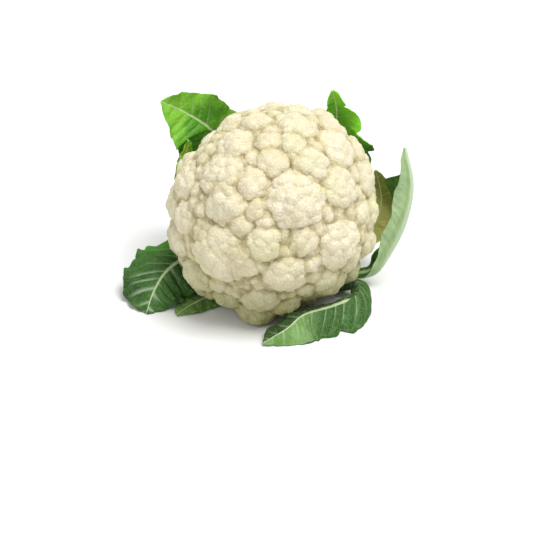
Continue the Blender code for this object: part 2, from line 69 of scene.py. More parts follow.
# Where the head swells out of the ball or sinks in, as the view shows it:
# across, up, how far, and the angle over which it fades.
SWELLS = (
    (0.047, 0.068, 0.0055, math.radians(34)),
    (-0.061, 0.056, -0.0135, math.radians(14)),
    (-0.082, 0.006, -0.0030, math.radians(16)),
    (-0.058, -0.059, 0.0060, math.radians(15)),
    (-0.012, -0.0815, 0.0080, math.radians(13)),
    (0.026, -0.078, -0.0110, math.radians(10)),
)

# The curd's hidden core, and how much deeper it lies than the florets need.
CORE_RADIUS = 0.070
CORE_SINK = 0.003

# The small waves of a leaf's margin, where the leaf has no value of its own.
FRILL = 0.0011

# No leaf's tip or tooth goes past this box.
BOX_LOW = (-0.11348, -0.09820, 0.0)
BOX_HIGH = (0.11335, 0.09820, 0.15590)

# Small florets fill the hollows between the others, from the deepest hollow on.
FILL_SAMPLES = 6000
FILL_FROM = 0.0060
FILL_SIZE = (0.015, 0.026)
FILL_LOW = (-0.0058, -0.0030)
MOST_FILLERS = 110
FILL_SLICES = 8

# The curd's flat underside with the ripple of its branches, and the stalk.
UNDERSIDE_DEPTH = 0.040
BRANCH_COUNT = 11
BRANCH_HEIGHT = 0.0022
STEM_RADIUS = 0.022
STEM_BOTTOM_RADIUS = 0.020
STEM_END_DEPTH = 0.0685
STEM_SIDES = 16
STEM_CUTS = 9
# The stalk's side lies this far inside its radius. Its ridges: height and number round it.
STEM_INSET = 0.0010
FINE_RIDGES = (0.0004, 23.0)
BROAD_RIDGES = (0.0006, 5.0)
CUT_ROUGHNESS = (0.0006, 310.0)
GAP = 0.0003

# A floret is a dome on a ball. It is raised in three steps, each spread over the one before:
# lobes on the large florets, knobs on the lobes, and grains on the knobs. Each step has its
# angle from the floret's middle, the size of its balls and how far they rise.
FLORET_BALL = 0.560
FLORET_BALL_EXTRA = 0.0015
LOBE_SPAN = math.radians(72)
LOBE_SPACING = 0.0175
LOBE_BALL = 0.0125
LOBE_RISE = 0.0034
FEWEST_LOBES = 3
KNOB_SPAN = math.radians(86)
KNOB_BALL = 0.0064
KNOB_PROUD = 0.0018
GRAIN_SPAN = math.radians(88)
GRAIN_BALL = 0.62
GRAIN_RISE = 0.16
BALL_SPREAD = (0.78, 1.14)
RISE_SPREAD = (0.55, 1.0)
# The area of a six-sided cell as a share of its width squared, and the random shift of balls.
HEXAGON = 0.866
PLACE_JITTER = 0.16
# How soft the hollows between balls are, and how far their crease lines fade.
BLEND_EVEN = 1.6
LOBE_SOFT = 0.0006
KNOB_SOFT = 0.0003
GRAIN_SOFT = 0.00012
LOBE_CREASE_FADE = 0.0010
KNOB_CREASE_FADE = 0.00045
CLEFT_FADE = 0.0022
GOLDEN_ANGLE = math.radians(137.508)
SEED = 7
GRAIN_SEED = 23

# Florets as the front view shows them: across, up, size and how far each stands out.
SEEN_FLORETS = (
    (-0.044, -0.040, 0.059, 0.0025),
    (-0.006, -0.032, 0.031, 0.0005),
    (-0.058, -0.064, 0.032, -0.0010),
    (0.013, -0.057, 0.040, 0.0015),
    (-0.010, -0.076, 0.034, 0.0000),
    (-0.011, -0.0815, 0.030, 0.0000),
    (-0.036, -0.073, 0.028, -0.0010),
    (0.059, -0.031, 0.048, 0.0020),
    (0.027, -0.030, 0.026, -0.0015),
    (0.021, 0.005, 0.048, 0.0035),
    (-0.041, 0.028, 0.042, 0.0020),
    (-0.038, 0.004, 0.038, 0.0015),
    (-0.018, 0.019, 0.031, -0.0005),
    (0.058, 0.018, 0.040, 0.0010),
    (0.034, 0.036, 0.031, 0.0010),
    (0.001, 0.038, 0.027, 0.0000),
    (-0.001, 0.053, 0.023, -0.0010),
    (-0.030, 0.053, 0.034, 0.0010),
    (0.022, 0.067, 0.038, 0.0010),
    (-0.012, 0.072, 0.030, 0.0000),
    (-0.032, 0.072, 0.032, 0.0000),
    (0.050, 0.063, 0.034, 0.0000),
    (0.067, 0.047, 0.036, 0.0000),
    (-0.072, 0.024, 0.040, 0.0000),
    (-0.072, -0.009, 0.036, 0.0000),
    (-0.059, -0.019, 0.030, -0.0020),
    (0.019, 0.051, 0.028, -0.0005),
    (0.048, -0.004, 0.019, -0.0040),
    (0.077, -0.003, 0.036, -0.0020),
    (0.046, -0.059, 0.030, -0.0010),
    (0.034, -0.049, 0.020, -0.0035),
    (0.010, -0.027, 0.016, -0.0040),
    (-0.012, -0.004, 0.022, -0.0035),
    (-0.026, -0.015, 0.022, -0.0030),
)
HIDDEN_SPREAD = 92
HIDDEN_FLORET_SIZE = 0.033
HIDDEN_LOWEST = math.radians(117)
HIDDEN_SIZE_SPREAD = (0.8, 1.2)
HIDDEN_PROUD = (-0.001, 0.002)
# A hidden floret keeps this share of its size away from the seen ones.
HIDDEN_APART = 0.62
RIM_FLORETS = 17
RIM_ANGLE = math.radians(126)
RIM_SIZE = 0.026
RIM_DROP = -0.006

# How the florets are shared out to pieces: the seen ones by their place in the view, across
# and up, and the hidden ones by how far their direction points upwards.
MIDDLE_REACH = 0.028
UPPER_FROM = -0.010
TOP_FROM = 0.3

# Most of a floret's mesh goes to its outer cap, which is all that shows.
CAP_SHARE = 0.85
CAP_AREA = 0.44
COARSEST_BALL = 3
FINEST_BALL = 11
# The seed ball's edge for a radius of 1, how often it is split, and the wider step out of sight.
SEED_EDGE = 0.8485
SEED_SPLITS = 4.0
HIDDEN_STEP = 1.3
CORE_CUTS = 12

# The leaves, as the frame has them. Each spine point is (x, y, z) from the point on the
# ground under the head's middle, with the way that the leaf's inner face looks there.
# notches are cuts in the margin: side, place along the blade, depth and width.
LEAF_THICKNESS = 0.0009
LEAF_CLEAR = 0.0875
DENT_FOLLOWED = 0.0035
GROUND_CLEAR = 0.0009
CURVE_STEPS = 24
# How fast a blade opens from its stalk and its waves die at its tip, and how much closer its
# columns lie to the rib than to the margin.
OPENING = 6.0
ENDING = 5.0
CROWDING = 0.6
# The margin's teeth: how deep they start, and the height, number and shift of each wave.
TEETH_SINK = -0.058
TEETH = ((0.030, 9.0, 1.0), (0.018, 17.0, 1.7), (0.010, 31.0, 0.6))
# A side vein's slant and bend on its way out, and how far the veins wander from even spacing.
VEIN_SLANT = 0.45
VEIN_BEND = 8.0
VEIN_WANDER = 0.16
# The rib's height on its stalk, and how thin the blade gets at its margin.
RIB_HEIGHT = 1.15
EDGE_THINNING = 0.35
BLISTER = 0.00028
LEAF_ANGLE = math.radians(60)

LEAVES = {
    "leaf_back_left": dict(
        root=(132, 0.060), first_face=(-0.1, 0.3, 0.9),
        spine=(
            (-0.032, 0.074, 0.036, 0.1, -0.3, 0.9),
            (-0.036, 0.086, 0.064, 0.3, -0.9, 0.3),
            (-0.040, 0.080, 0.090, 0.3, -0.9, 0.3),
            (-0.050, 0.068, 0.111, 0.25, -0.9, 0.4),
            (-0.069, 0.058, 0.129, 0.2, -0.9, 0.4),
            (-0.085, 0.047, 0.142, 0.2, -0.9, 0.4),
        ),
        start=0.34,
        left=(0.007, 0.019, 0.029, 0.038, 0.041, 0.039, 0.036, 0.034, 0.032, 0.026, 0.015),
        right=(0.007, 0.017, 0.024, 0.025, 0.021, 0.012),
        clear=0.0925,
        cup=(10, 10), curl=(14, 12),
        ruffle=0.0025, ruffles=3.2, scallop=0.05, scallops=4.3, stalk=0.0068,
        slot="leaf_bright", teeth=0.6, pucker=0.0013,
        notches=(),
    ),
    "leaf_back_right": dict(
        root=(62, 0.048), first_face=(0.1, 0.3, 0.9),
        spine=(
            (0.030, 0.080, 0.040, -0.1, -0.3, 0.9),
            (0.045, 0.090, 0.066, -0.3, -0.8, 0.3),
            (0.052, 0.084, 0.096, -0.3, -0.9, 0.2),
            (0.053, 0.074, 0.122, -0.3, -0.9, 0.3),
            (0.049, 0.064, 0.144, -0.3, -0.9, 0.4),
        ),
        start=0.30,
        left=(0.007, 0.022, 0.026, 0.020, 0.012, 0.008),
        right=(0.007, 0.016, 0.027, 0.032, 0.038, 0.041, 0.037, 0.030, 0.019, 0.013, 0.011),
        cup=(20, 10), curl=(26, 0),
        ruffle=0.0045, ruffles=4.5, scallop=0.05, scallops=4.5, stalk=0.0062,
        slot="leaf_bright", teeth=0.5, pucker=0.0012,
        notches=((1, 0.865, 0.42, 0.020), (1, 0.70, 0.28, 0.018), (1, 0.54, 0.14, 0.02)),
    ),
    "leaf_right": dict(
        root=(10, 0.060), first_face=(0.0, -0.2, 1.0),
        spine=(
            (0.050, 0.016, 0.009, 0.0, 0.0, 1.0),
            (0.078, 0.007, 0.013, -0.5, 0.0, 0.9),
            (0.092, 0.004, 0.034, -0.9, 0.2, 0.2),
            (0.103, 0.003, 0.062, -0.9, 0.4, 0.1),
            (0.107, 0.003, 0.092, -0.9, 0.4, 0.0),
            (0.101, 0.003, 0.122, -0.9, 0.4, 0.0),
        ),
        start=0.36,
        left=(0.007, 0.008, 0.008, 0.008, 0.009, 0.011, 0.021, 0.025, 0.010, 0.006, 0.004),
        right=(0.007, 0.008, 0.011, 0.012, 0.010, 0.005),
        cup=(62, 55), curl=(10, 10),
        ruffle=0.0015, ruffles=3.0, scallop=0.05, scallops=3.4, stalk=0.0070,
        slot="leaf_pale", teeth=0.2, pucker=0.0006,
        frill=0.0003,
        notches=(),
    ),
    "leaf_right_inner": dict(
        root=(34, 0.048), first_face=(0.0, 0.0, 1.0),
        spine=(
            (0.046, 0.046, 0.024, -0.2, -0.2, 1.0),
            (0.074, 0.044, 0.027, -0.6, -0.8, 0.5),
            (0.087, 0.042, 0.042, -0.6, -0.8, 0.2),
            (0.089, 0.042, 0.062, -0.6, -0.8, 0.1),
            (0.084, 0.044, 0.084, -0.6, -0.8, 0.1),
        ),
        start=0.34,
        left=(0.006, 0.011, 0.014, 0.015, 0.012, 0.007),
        right=(0.006, 0.011, 0.015, 0.018, 0.018, 0.009),
        cup=(5, 5), curl=(5, 5),
        ruffle=0.0015, ruffles=3.0, scallop=0.06, scallops=3.0, stalk=0.0052,
        slot="leaf_young", teeth=0.4, pucker=0.0007,
        frill=0.0004,
        notches=(),
    ),
    "leaf_front_right": dict(
        root=(330, 0.060), first_face=(0.2, -0.3, 0.9),
        spine=(
            (0.046, 0.000, 0.009, 0.1, 0.0, 1.0),
            (0.066, -0.016, 0.016, 0.3, -0.2, 1.0),
            (0.0665, -0.037, 0.018, 0.2, -0.3, 1.0),
            (0.0475, -0.0515, 0.0165, 0.1, -0.4, 1.0),
            (0.025, -0.064, 0.016, 0.0, -0.4, 1.0),
            (0.012, -0.074, 0.010, 0.0, -0.3, 1.0),
            (-0.006, -0.083, 0.003, 0.0, -0.3, 1.0),
        ),
        start=0.32,
        left=(0.007, 0.014, 0.026, 0.031, 0.026, 0.019, 0.010),
        right=(0.007, 0.007, 0.006, 0.006, 0.009, 0.014, 0.019, 0.022, 0.022, 0.018, 0.010),
        cup=(-20, (-20, -24, -28, -30, -28, -20, -14, -12, -10, -10, -10)), curl=(-20, -10),
        ruffle=0.0025, ruffles=3.0, scallop=0.07, scallops=3.0, stalk=0.0066,
        slot="leaf_pale", teeth=0.8, pucker=0.0018,
        rib_from=0.36,
        notches=((-1, 0.47, 0.34, 0.024),),
    ),
    "leaf_front_left": dict(
        root=(203, 0.060), first_face=(-0.1, -0.1, 1.0),
        spine=(
            (-0.046, 0.016, 0.015, 0.0, -0.3, 1.0),
            (-0.070, 0.006, 0.023, -0.1, -0.5, 0.8),
            (-0.083, -0.011, 0.022, -0.1, -0.5, 0.8),
            (-0.092, -0.026, 0.012, -0.1, -0.5, 0.8),
            (-0.097, -0.038, 0.000, -0.1, -0.5, 0.8),
        ),
        start=0.36,
        left=(0.007, 0.024, 0.029, 0.026, 0.022, 0.015),
        right=(0.007, 0.025, 0.031, 0.033, 0.033, 0.033, 0.033, 0.031, 0.029, 0.024, 0.017),
        cup=(-12, -2), curl=(-15, -12),
        ruffle=0.0040, ruffles=3.0, scallop=0.05, scallops=3.4, stalk=0.0066,
        slot="leaf_dark", teeth=0.25, pucker=0.0026,
        frill=0.0016,
        notches=((1, 0.27, 0.10, 0.03),),
    ),
    "leaf_front_left_under": dict(
        root=(262, 0.050), first_face=(0.0, 0.0, 1.0),
        spine=(
            (-0.040, -0.010, 0.005, 0.0, 0.0, 1.0),
            (-0.058, -0.024, 0.003, 0.0, -0.2, 1.0),
            (-0.067, -0.033, 0.002, 0.0, -0.2, 1.0),
            (-0.073, -0.041, 0.001, 0.0, -0.2, 1.0),
        ),
        start=0.32,
        left=(0.006, 0.011, 0.014, 0.014, 0.011, 0.006),
        right=(0.006, 0.012, 0.015, 0.015, 0.011, 0.006),
        cup=(0, 0), curl=(0, 0),
        ruffle=0.0015, ruffles=3.0, scallop=0.06, scallops=3.0, stalk=0.0055,
        slot="leaf_dark", teeth=0.3, pucker=0.0012,
        notches=(),
    ),
    "leaf_back_left_inner": dict(
        root=(158, 0.048), first_face=(0.0, 0.0, 1.0),
        spine=(
            (-0.048, 0.052, 0.028, 0.3, -0.2, 1.0),
            (-0.068, 0.054, 0.056, 0.8, -0.5, 0.3),
            (-0.070, 0.050, 0.084, 0.7, -0.7, 0.2),
            (-0.065, 0.047, 0.109, 0.7, -0.7, 0.2),
        ),
        start=0.36,
        left=(0.005, 0.010, 0.013, 0.012, 0.010, 0.006),
        right=(0.005, 0.010, 0.013, 0.012, 0.010, 0.006),
        cup=(8, 8), curl=(10, 10),
        ruffle=0.0015, ruffles=3.0, scallop=0.06, scallops=3.2, stalk=0.0050,
        slot="leaf_young", teeth=1.0, pucker=0.0012,
        notches=(),
    ),
    "leaf_back": dict(
        root=(92, 0.060), first_face=(0.0, 0.3, 0.9),
        spine=(
            (-0.002, 0.078, 0.006, 0.0, -0.1, 0.9),
            (0.001, 0.101, 0.020, 0.0, -0.9, 0.5),
            (0.003, 0.108, 0.050, 0.0, -0.9, 0.1),
            (0.004, 0.104, 0.082, 0.0, -0.9, 0.1),
            (0.005, 0.092, 0.112, 0.0, -0.9, 0.2),
        ),
        start=0.38,
        left=(0.007, 0.024, 0.034, 0.034, 0.026, 0.014),
        right=(0.007, 0.024, 0.034, 0.034, 0.026, 0.014),
        cup=(15, 15), curl=(10, 10),
        ruffle=0.0030, ruffles=4.0, scallop=0.06, scallops=4.3, stalk=0.0070,
        slot="leaf_dark", teeth=0.6, pucker=0.0012,
        notches=(),
    ),
}

CUT_STALKS = {
    "cut_stalk_left": dict(root=(237, 0.060), reach=0.016, droop=-0.003),
    "cut_stalk_front": dict(root=(294, 0.056), reach=0.014, droop=-0.002),
}
CUT_STALK_WIDTH = 0.0062
CUT_STALK_ROWS = 24
CUT_STALK_COLUMNS = 32
STALK_ANGLE = math.radians(50)

# A leaf's colours: the green of its inner face, its darker patches, its outer face, and the
# share of pale wax bloom and painted sheen beside its side veins. Each sweep changes the colour along a
# direction:
# the direction, where the change starts and ends along it, and the colour at its end. The
# word side stands for the way across the blade, from -1 at its left margin to 1 at its right.
# Most sweeps paint shade: the back-left leaves darker low down, the front-left leaves darker
# towards and under the head, and the front-right leaf darker on its right part and nearly
# black on its far half, in the head's shadow. The inner right leaf's sweep is its own cream
# turning olive; the others shift a leaf's colour along it.
LEAF_COLOURS = {
    "leaf_back_left": dict(
        green=(0.270, 0.640, 0.050), dark=(0.080, 0.320, 0.012), outer=(0.270, 0.500, 0.120),
        # Painted shade: darker low down.
        wax_and_sheen=0.10, sweeps=(((0, 0, 1), 0.124, 0.092, (0.070, 0.280, 0.010)),),
    ),
    "leaf_back_right": dict(
        green=(0.280, 0.760, 0.030), dark=(0.100, 0.420, 0.010), outer=(0.270, 0.500, 0.120),
        wax_and_sheen=0.05, sweeps=(((0, 0, 1), 0.108, 0.086, (0.050, 0.160, 0.010)),),
    ),
    "leaf_right": dict(
        green=(0.065, 0.250, 0.018), dark=(0.025, 0.110, 0.006), outer=(0.540, 0.760, 0.390),
        wax_and_sheen=0.12, sweeps=(((0, 0, 1), 0.124, 0.154, (0.240, 0.330, 0.190)),),
    ),
    "leaf_right_inner": dict(
        green=(0.760, 0.720, 0.270), dark=(0.600, 0.580, 0.170), outer=(0.330, 0.450, 0.140),
        wax_and_sheen=0.0, sweeps=(((0.6, 0, 0.8), 0.092, 0.110, (0.130, 0.170, 0.012)),),
    ),
    "leaf_front_right": dict(
        green=(0.220, 0.400, 0.130), dark=(0.120, 0.260, 0.050), outer=(0.300, 0.500, 0.200),
        wax_and_sheen=0.14, sweeps=(
            # Painted shade: darker on its right part.
            ((1, 0, 0), 0.022, 0.046, (0.013, 0.080, 0.004)),
            # Painted shadow: the far half goes nearly black where the head shades it.
            ("side", 0.02, 0.10, (0.006, 0.030, 0.003)),
        ),
    ),
    "leaf_front_left": dict(
        green=(0.055, 0.170, 0.025), dark=(0.018, 0.080, 0.008), outer=(0.200, 0.360, 0.120),
        wax_and_sheen=0.62, sweeps=(
            ((0, 1, 0), -0.010, 0.008, (0.070, 0.330, 0.012)),
            # Painted shadow: darker towards the head, in its shade.
            ((1, 0, 0), -0.084, -0.066, (0.022, 0.100, 0.009)),
        ),
    ),
    "leaf_front_left_under": dict(
        green=(0.270, 0.440, 0.130), dark=(0.150, 0.300, 0.055), outer=(0.160, 0.290, 0.100),
        # Painted shadow: darker under the head.
        wax_and_sheen=0.12, sweeps=(((1, 0, 0), -0.066, -0.050, (0.110, 0.240, 0.040)),),
    ),
    "leaf_back_left_inner": dict(
        green=(0.420, 0.700, 0.040), dark=(0.230, 0.480, 0.015), outer=(0.330, 0.520, 0.110),
        # Painted shade: darker low down.
        wax_and_sheen=0.0, sweeps=(((0, 0, 1), 0.090, 0.070, (0.130, 0.320, 0.020)),),
    ),
    "leaf_back": dict(
        green=(0.095, 0.270, 0.040), dark=(0.035, 0.130, 0.012), outer=(0.240, 0.430, 0.160),
        wax_and_sheen=0.25, sweeps=(((0, 0, 1), 0.080, 0.110, (0.130, 0.350, 0.030)),),
    ),
}
# Pale wax bloom, partly the leaves' own and partly painted sheen.
WAX_AND_SHEEN_COLOUR = (0.420, 0.560, 0.400)

# Painted shade, with a tan tone, in the curd's creases, clefts and pits: the attribute, where it
# starts and ends, its share, and its colour, or none for the tan crease shade of the settings.
CREASE_SHADES = (
    ("grain_crease", 0.45, 1.0, 0.24, None),
    ("knob_crease", 0.30, 1.0, 0.26, None),
    ("cleft", 0.45, 1.0, 0.32, (0.46, 0.38, 0.15)),
    ("pit", 0.40, 0.95, 0.44, (0.27, 0.20, 0.065)),
)

# The stage: where each light stands and how wide it is, the floor, and the camera's aim.
KEY_PLACE = (1.30, -0.70, 3.90)
KEY_SIZE = 2.4
FILL_PLACE = (-1.80, -1.60, 1.60)
FILL_LIGHT_SIZE = 1.6
FLOOR_SIZE = 12.0
SENSOR_WIDTH = 36.0
AIM_BELOW = 0.0457
AIM_LEFT = 0.0008


def unit(vector):
    vector = np.asarray(vector, float)
    return vector / np.linalg.norm(vector)


HEAD_CENTRE = np.array((HEAD_PLACE[0], HEAD_PLACE[1], HEAD_HEIGHT))
GROUND_POINT = np.array((HEAD_PLACE[0], HEAD_PLACE[1], 0.0))
HEAD_AXIS = np.array(
    (
        math.sin(LEAN_RIGHT),
        -math.sin(LEAN_FRONT) * math.cos(LEAN_RIGHT),
        math.cos(LEAN_FRONT) * math.cos(LEAN_RIGHT),
    )
)
SIDE_AXIS = unit(np.array((1.0, 0.0, 0.0)) - HEAD_AXIS[0] * HEAD_AXIS)
BACK_AXIS = np.cross(HEAD_AXIS, SIDE_AXIS)
VIEW_RIGHT = np.array((1.0, 0.0, 0.0))
VIEW_UP = np.array((0.0, math.sin(VIEW_ELEVATION), math.cos(VIEW_ELEVATION)))
VIEW_TOWARDS = np.array((0.0, -math.cos(VIEW_ELEVATION), math.sin(VIEW_ELEVATION)))


class CurdSettings(bpy.types.PropertyGroup):
    """Sizes and colours of the curd."""

    grain_spacing: FloatProperty(
        name="Grain Spacing",
        description="Distance between the grains on a floret's knobs",
        default=0.0025,
        min=0.001,
        subtype="DISTANCE",
        unit="LENGTH",
    )
    knob_spacing: FloatProperty(
        name="Knob Spacing",
        description="Distance between the knobs on a floret",
        default=0.0092,
        min=0.003,
        subtype="DISTANCE",
        unit="LENGTH",
    )
    mesh_step: FloatProperty(
        name="Mesh Step",
        description="Length of the curd's mesh edges on the seen side",
        default=0.00066,
        min=0.0003,
        subtype="DISTANCE",
        unit="LENGTH",
    )
    cream: FloatVectorProperty(
        name="Cream",
        description="Colour of the curd's open surface",
        subtype="COLOR",
        size=3,
        default=(0.675, 0.625, 0.465),
    )
    # The tan painted into the curd's creases as their shade.
    tan: FloatVectorProperty(
        name="Tan",
        description="Colour of the curd in its creases",
        subtype="COLOR",
        size=3,
        default=(0.50, 0.42, 0.19),
    )


class LeafSettings(bpy.types.PropertyGroup):
    """Sizes of the leaves' mesh and veins."""

    vein_spacing: FloatProperty(
        name="Vein Spacing",
        description="Distance along the rib between side veins",
        default=0.0095,
        min=0.003,
        subtype="DISTANCE",
        unit="LENGTH",
    )
    rows: IntProperty(
        name="Rows",
        description="Mesh rows along a leaf",
        default=150,
        min=20,
    )
    columns: IntProperty(
        name="Columns",
        description="Mesh columns across a leaf",
        default=72,
        min=8,
    )
    vein_colour: FloatVectorProperty(
        name="Vein Colour",
        description="Colour of the rib and the side veins",
        subtype="COLOR",
        size=3,
        default=(0.55, 0.68, 0.36),
    )


class StageSettings(bpy.types.PropertyGroup):
    """The floor, the lights and the camera."""

    lens: FloatProperty(
        name="Lens",
        description="Focal length of the camera in millimetres",
        default=85.0,
        subtype="DISTANCE_CAMERA",
    )
    key_power: FloatProperty(
        name="Key Power",
        description="Power of the large soft light overhead and to the right",
        default=198.0,
        unit="POWER",
    )
    fill_power: FloatProperty(
        name="Fill Power",
        description="Power of the weak soft light at the front left",
        default=18.0,
        unit="POWER",
    )
    sky: FloatProperty(
        name="Sky",
        description="Brightness of the even white surroundings",
        default=0.43,
    )
    floor_colour: FloatVectorProperty(
        name="Floor Colour",
        description="Colour of the pale floor",
        subtype="COLOR",
        size=3,
        default=(0.84, 0.84, 0.835),
    )


def deselect_all():
    for thing in bpy.context.selected_objects:
        thing.select_set(False)


def select_only(things):
    deselect_all()
    for thing in things:
        thing.select_set(True)
    bpy.context.view_layer.objects.active = things[0]


def mesh_places(thing):
    """The places of the mesh's points, as rows."""
    places = np.empty(len(thing.data.vertices) * 3)
    thing.data.vertices.foreach_get("co", places)
    return places.reshape(-1, 3)


def set_places(thing, places):
    thing.data.vertices.foreach_set("co", np.ascontiguousarray(places).ravel())
    thing.data.update()


def set_attribute(thing, name, values):
    """Stores a number for each point of the mesh, for its material to read."""
    if name not in thing.data.attributes:
        thing.data.attributes.new(name, "FLOAT", "POINT")
    thing.data.attributes[name].data.foreach_set("value", np.ascontiguousarray(values, np.float32))


def finish_piece(thing, name, nodes):
    """Names a piece and says what it rides on and what it replaces."""
    thing.name = name
    thing.data.name = name
    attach(thing, BODY)
    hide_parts(*nodes)
    return thing


def facing_direction(across, up):
    """Direction from the head's middle to the curd's point that the view shows at across, up."""
    towards = math.sqrt(max(CURD_RADIUS**2 - across**2 - up**2, 0.0))
    nearer = 1.0 - towards / VIEW_DISTANCE
    side, height = across * nearer, up * nearer
    towards = math.sqrt(max(CURD_RADIUS**2 - side**2 - height**2, 0.0))
    return unit(side * VIEW_RIGHT + height * VIEW_UP + towards * VIEW_TOWARDS)


def swell(directions):
    """How far the head stands out of its ball along each unit direction."""
    total = np.zeros(directions.shape[:-1])
    for across, up, amount, fade in SWELLS:
        angle = np.arccos(np.clip(directions @ facing_direction(across, up), -1.0, 1.0))
        total = total + amount * np.exp(-((angle / fade) ** 2))
    return total


def head_direction(polar, turn):
    """Direction at the angle polar from the head's axis, turned round it from the right side."""
    around = math.cos(turn) * SIDE_AXIS + math.sin(turn) * BACK_AXIS
    return math.cos(polar) * HEAD_AXIS + math.sin(polar) * around


def floret_list():
    """Every floret's direction, size, how far it stands out, and the piece that it belongs to."""
    florets = []
    for across, up, size, proud in SEEN_FLORETS:
        side = "left" if across < -MIDDLE_REACH else "right" if across > MIDDLE_REACH else "middle"
        height_name = "upper_" if up > UPPER_FROM else "lower_"
        group = "curd_front_" + height_name + side
        florets.append((facing_direction(across, up), size, proud, group))
    draw = np.random.default_rng(SEED)
    for number in range(HIDDEN_SPREAD):
        height = 1.0 - 2.0 * (number + 0.5) / HIDDEN_SPREAD
        polar = math.acos(height)
        direction = head_direction(polar, number * GOLDEN_ANGLE)
        size = HIDDEN_FLORET_SIZE * draw.uniform(*HIDDEN_SIZE_SPREAD)
        proud = draw.uniform(*HIDDEN_PROUD)
        if polar > HIDDEN_LOWEST:
            continue
        nearest = max(float(direction @ other[0]) for other in florets)
        if nearest < math.cos(HIDDEN_APART * HIDDEN_FLORET_SIZE / CURD_RADIUS):
            half = "left" if direction[0] < 0.0 else "right"
            height_name = "top" if direction[2] > TOP_FROM else "side"
            florets.append((direction, size, proud, "curd_back_" + height_name + "_" + half))
    for number in range(RIM_FLORETS):
        turn = 2.0 * math.pi * number / RIM_FLORETS
        florets.append((head_direction(RIM_ANGLE, turn), RIM_SIZE, RIM_DROP, "curd_rim"))
    return florets + filler_florets(florets, draw)


def filler_florets(florets, draw):
    """Small florets in the hollows that the others leave open, each in its neighbour's piece."""
    around = cap_directions(HEAD_AXIS, HIDDEN_LOWEST, FILL_SAMPLES, 0.0, draw)
    goal = CURD_RADIUS + swell(around)
    others = np.array([floret[0] for floret in florets])
    balls = [floret_ball(floret) for floret in florets]
    middles = np.array([ball[0] for ball in balls])
    radii = np.array([ball[1] for ball in balls])
    slices = np.array_split(around, FILL_SLICES)
    reach = np.concatenate([ball_hits(part, middles, radii).max(axis=1) for part in slices])
    added = []
    while len(added) < MOST_FILLERS:
        deepest = int(np.argmax(goal - reach))
        if goal[deepest] - reach[deepest] < FILL_FROM:
            break
        direction = around[deepest]
        piece = florets[int(np.argmax(others @ direction))][3]
        filler = (direction, draw.uniform(*FILL_SIZE), draw.uniform(*FILL_LOW), piece)
        added.append(filler)
        middle, radius = floret_ball(filler)
        hits = ball_hits(around, middle[None], np.array([radius]))[:, 0]
        reach = np.maximum(reach, hits)
    return added


def floret_ball(floret):
    """The middle and the radius of a floret's ball, measured from the head's middle."""
    direction, size, proud = floret[:3]
    radius = FLORET_BALL * size + FLORET_BALL_EXTRA
    middle = direction * (CURD_RADIUS + float(swell(direction)) + proud - radius)
    return middle, radius


def side_axes(direction):
    """Two unit vectors that stand square to a direction and to each other."""
    side = unit(np.cross(direction, (0.3, 0.5, 0.8)))
    return side, np.cross(direction, side)


def cap_directions(direction, span, count, jitter, draw):
    """Directions spread evenly over a cap round a direction, each moved a little at random."""
    side, other = side_axes(direction)
    number = np.arange(count)
    tilt = np.arccos(1.0 - (1.0 - math.cos(span)) * (number + 0.5) / count)
    turn = number * GOLDEN_ANGLE
    around = np.cos(turn)[:, None] * side + np.sin(turn)[:, None] * other
    spread = np.cos(tilt)[:, None] * direction + np.sin(tilt)[:, None] * around
    if jitter:
        spread = spread + draw.normal(0.0, jitter, spread.shape)
    return spread / np.linalg.norm(spread, axis=1)[:, None]


def ball_hits(directions, middles, radii):
    """How far out each direction leaves each ball, or nothing where it misses the ball."""
    forward = directions @ middles.T
    inside = radii**2 - ((middles**2).sum(axis=1) - forward**2)
    return np.where(inside > 0.0, forward + np.sqrt(np.maximum(inside, 0.0)), 0.0)


def blend_out(hits, base, soft):
    """The outermost of the base and the hits, with soft creases where they meet."""
    highest = np.maximum(hits.max(axis=1), base)
    total = np.exp((hits - highest[:, None]) / soft).sum(axis=1)
    total = total + np.exp((base - highest) / soft)
    return highest + soft * (np.log(total) - math.log(BLEND_EVEN))


def crease_lines(hits, fade):
    """1 along the lines where two balls meet, fading with the step between them."""
    if hits.shape[1] < 2:
        return np.zeros(len(hits))
    top = np.partition(hits, hits.shape[1] - 2, axis=1)[:, -2:]
    return np.exp(-(top[:, 1] - top[:, 0]) / fade)


def raised_balls(direction, radius, span, spacing, ball, rise, below, draw):
    """Balls spread over a floret's cap, each standing out of the surface below it."""
    area = 2.0 * math.pi * radius**2 * (1.0 - math.cos(span))
    count = max(1, round(area / (HEXAGON * spacing**2)))
    out = cap_directions(direction, span, count, PLACE_JITTER * spacing / radius, draw)
    radii = ball * draw.uniform(*BALL_SPREAD, count)
    reach = below(out) + rise * draw.uniform(*RISE_SPREAD, count) - radii
    return out * reach[:, None], radii


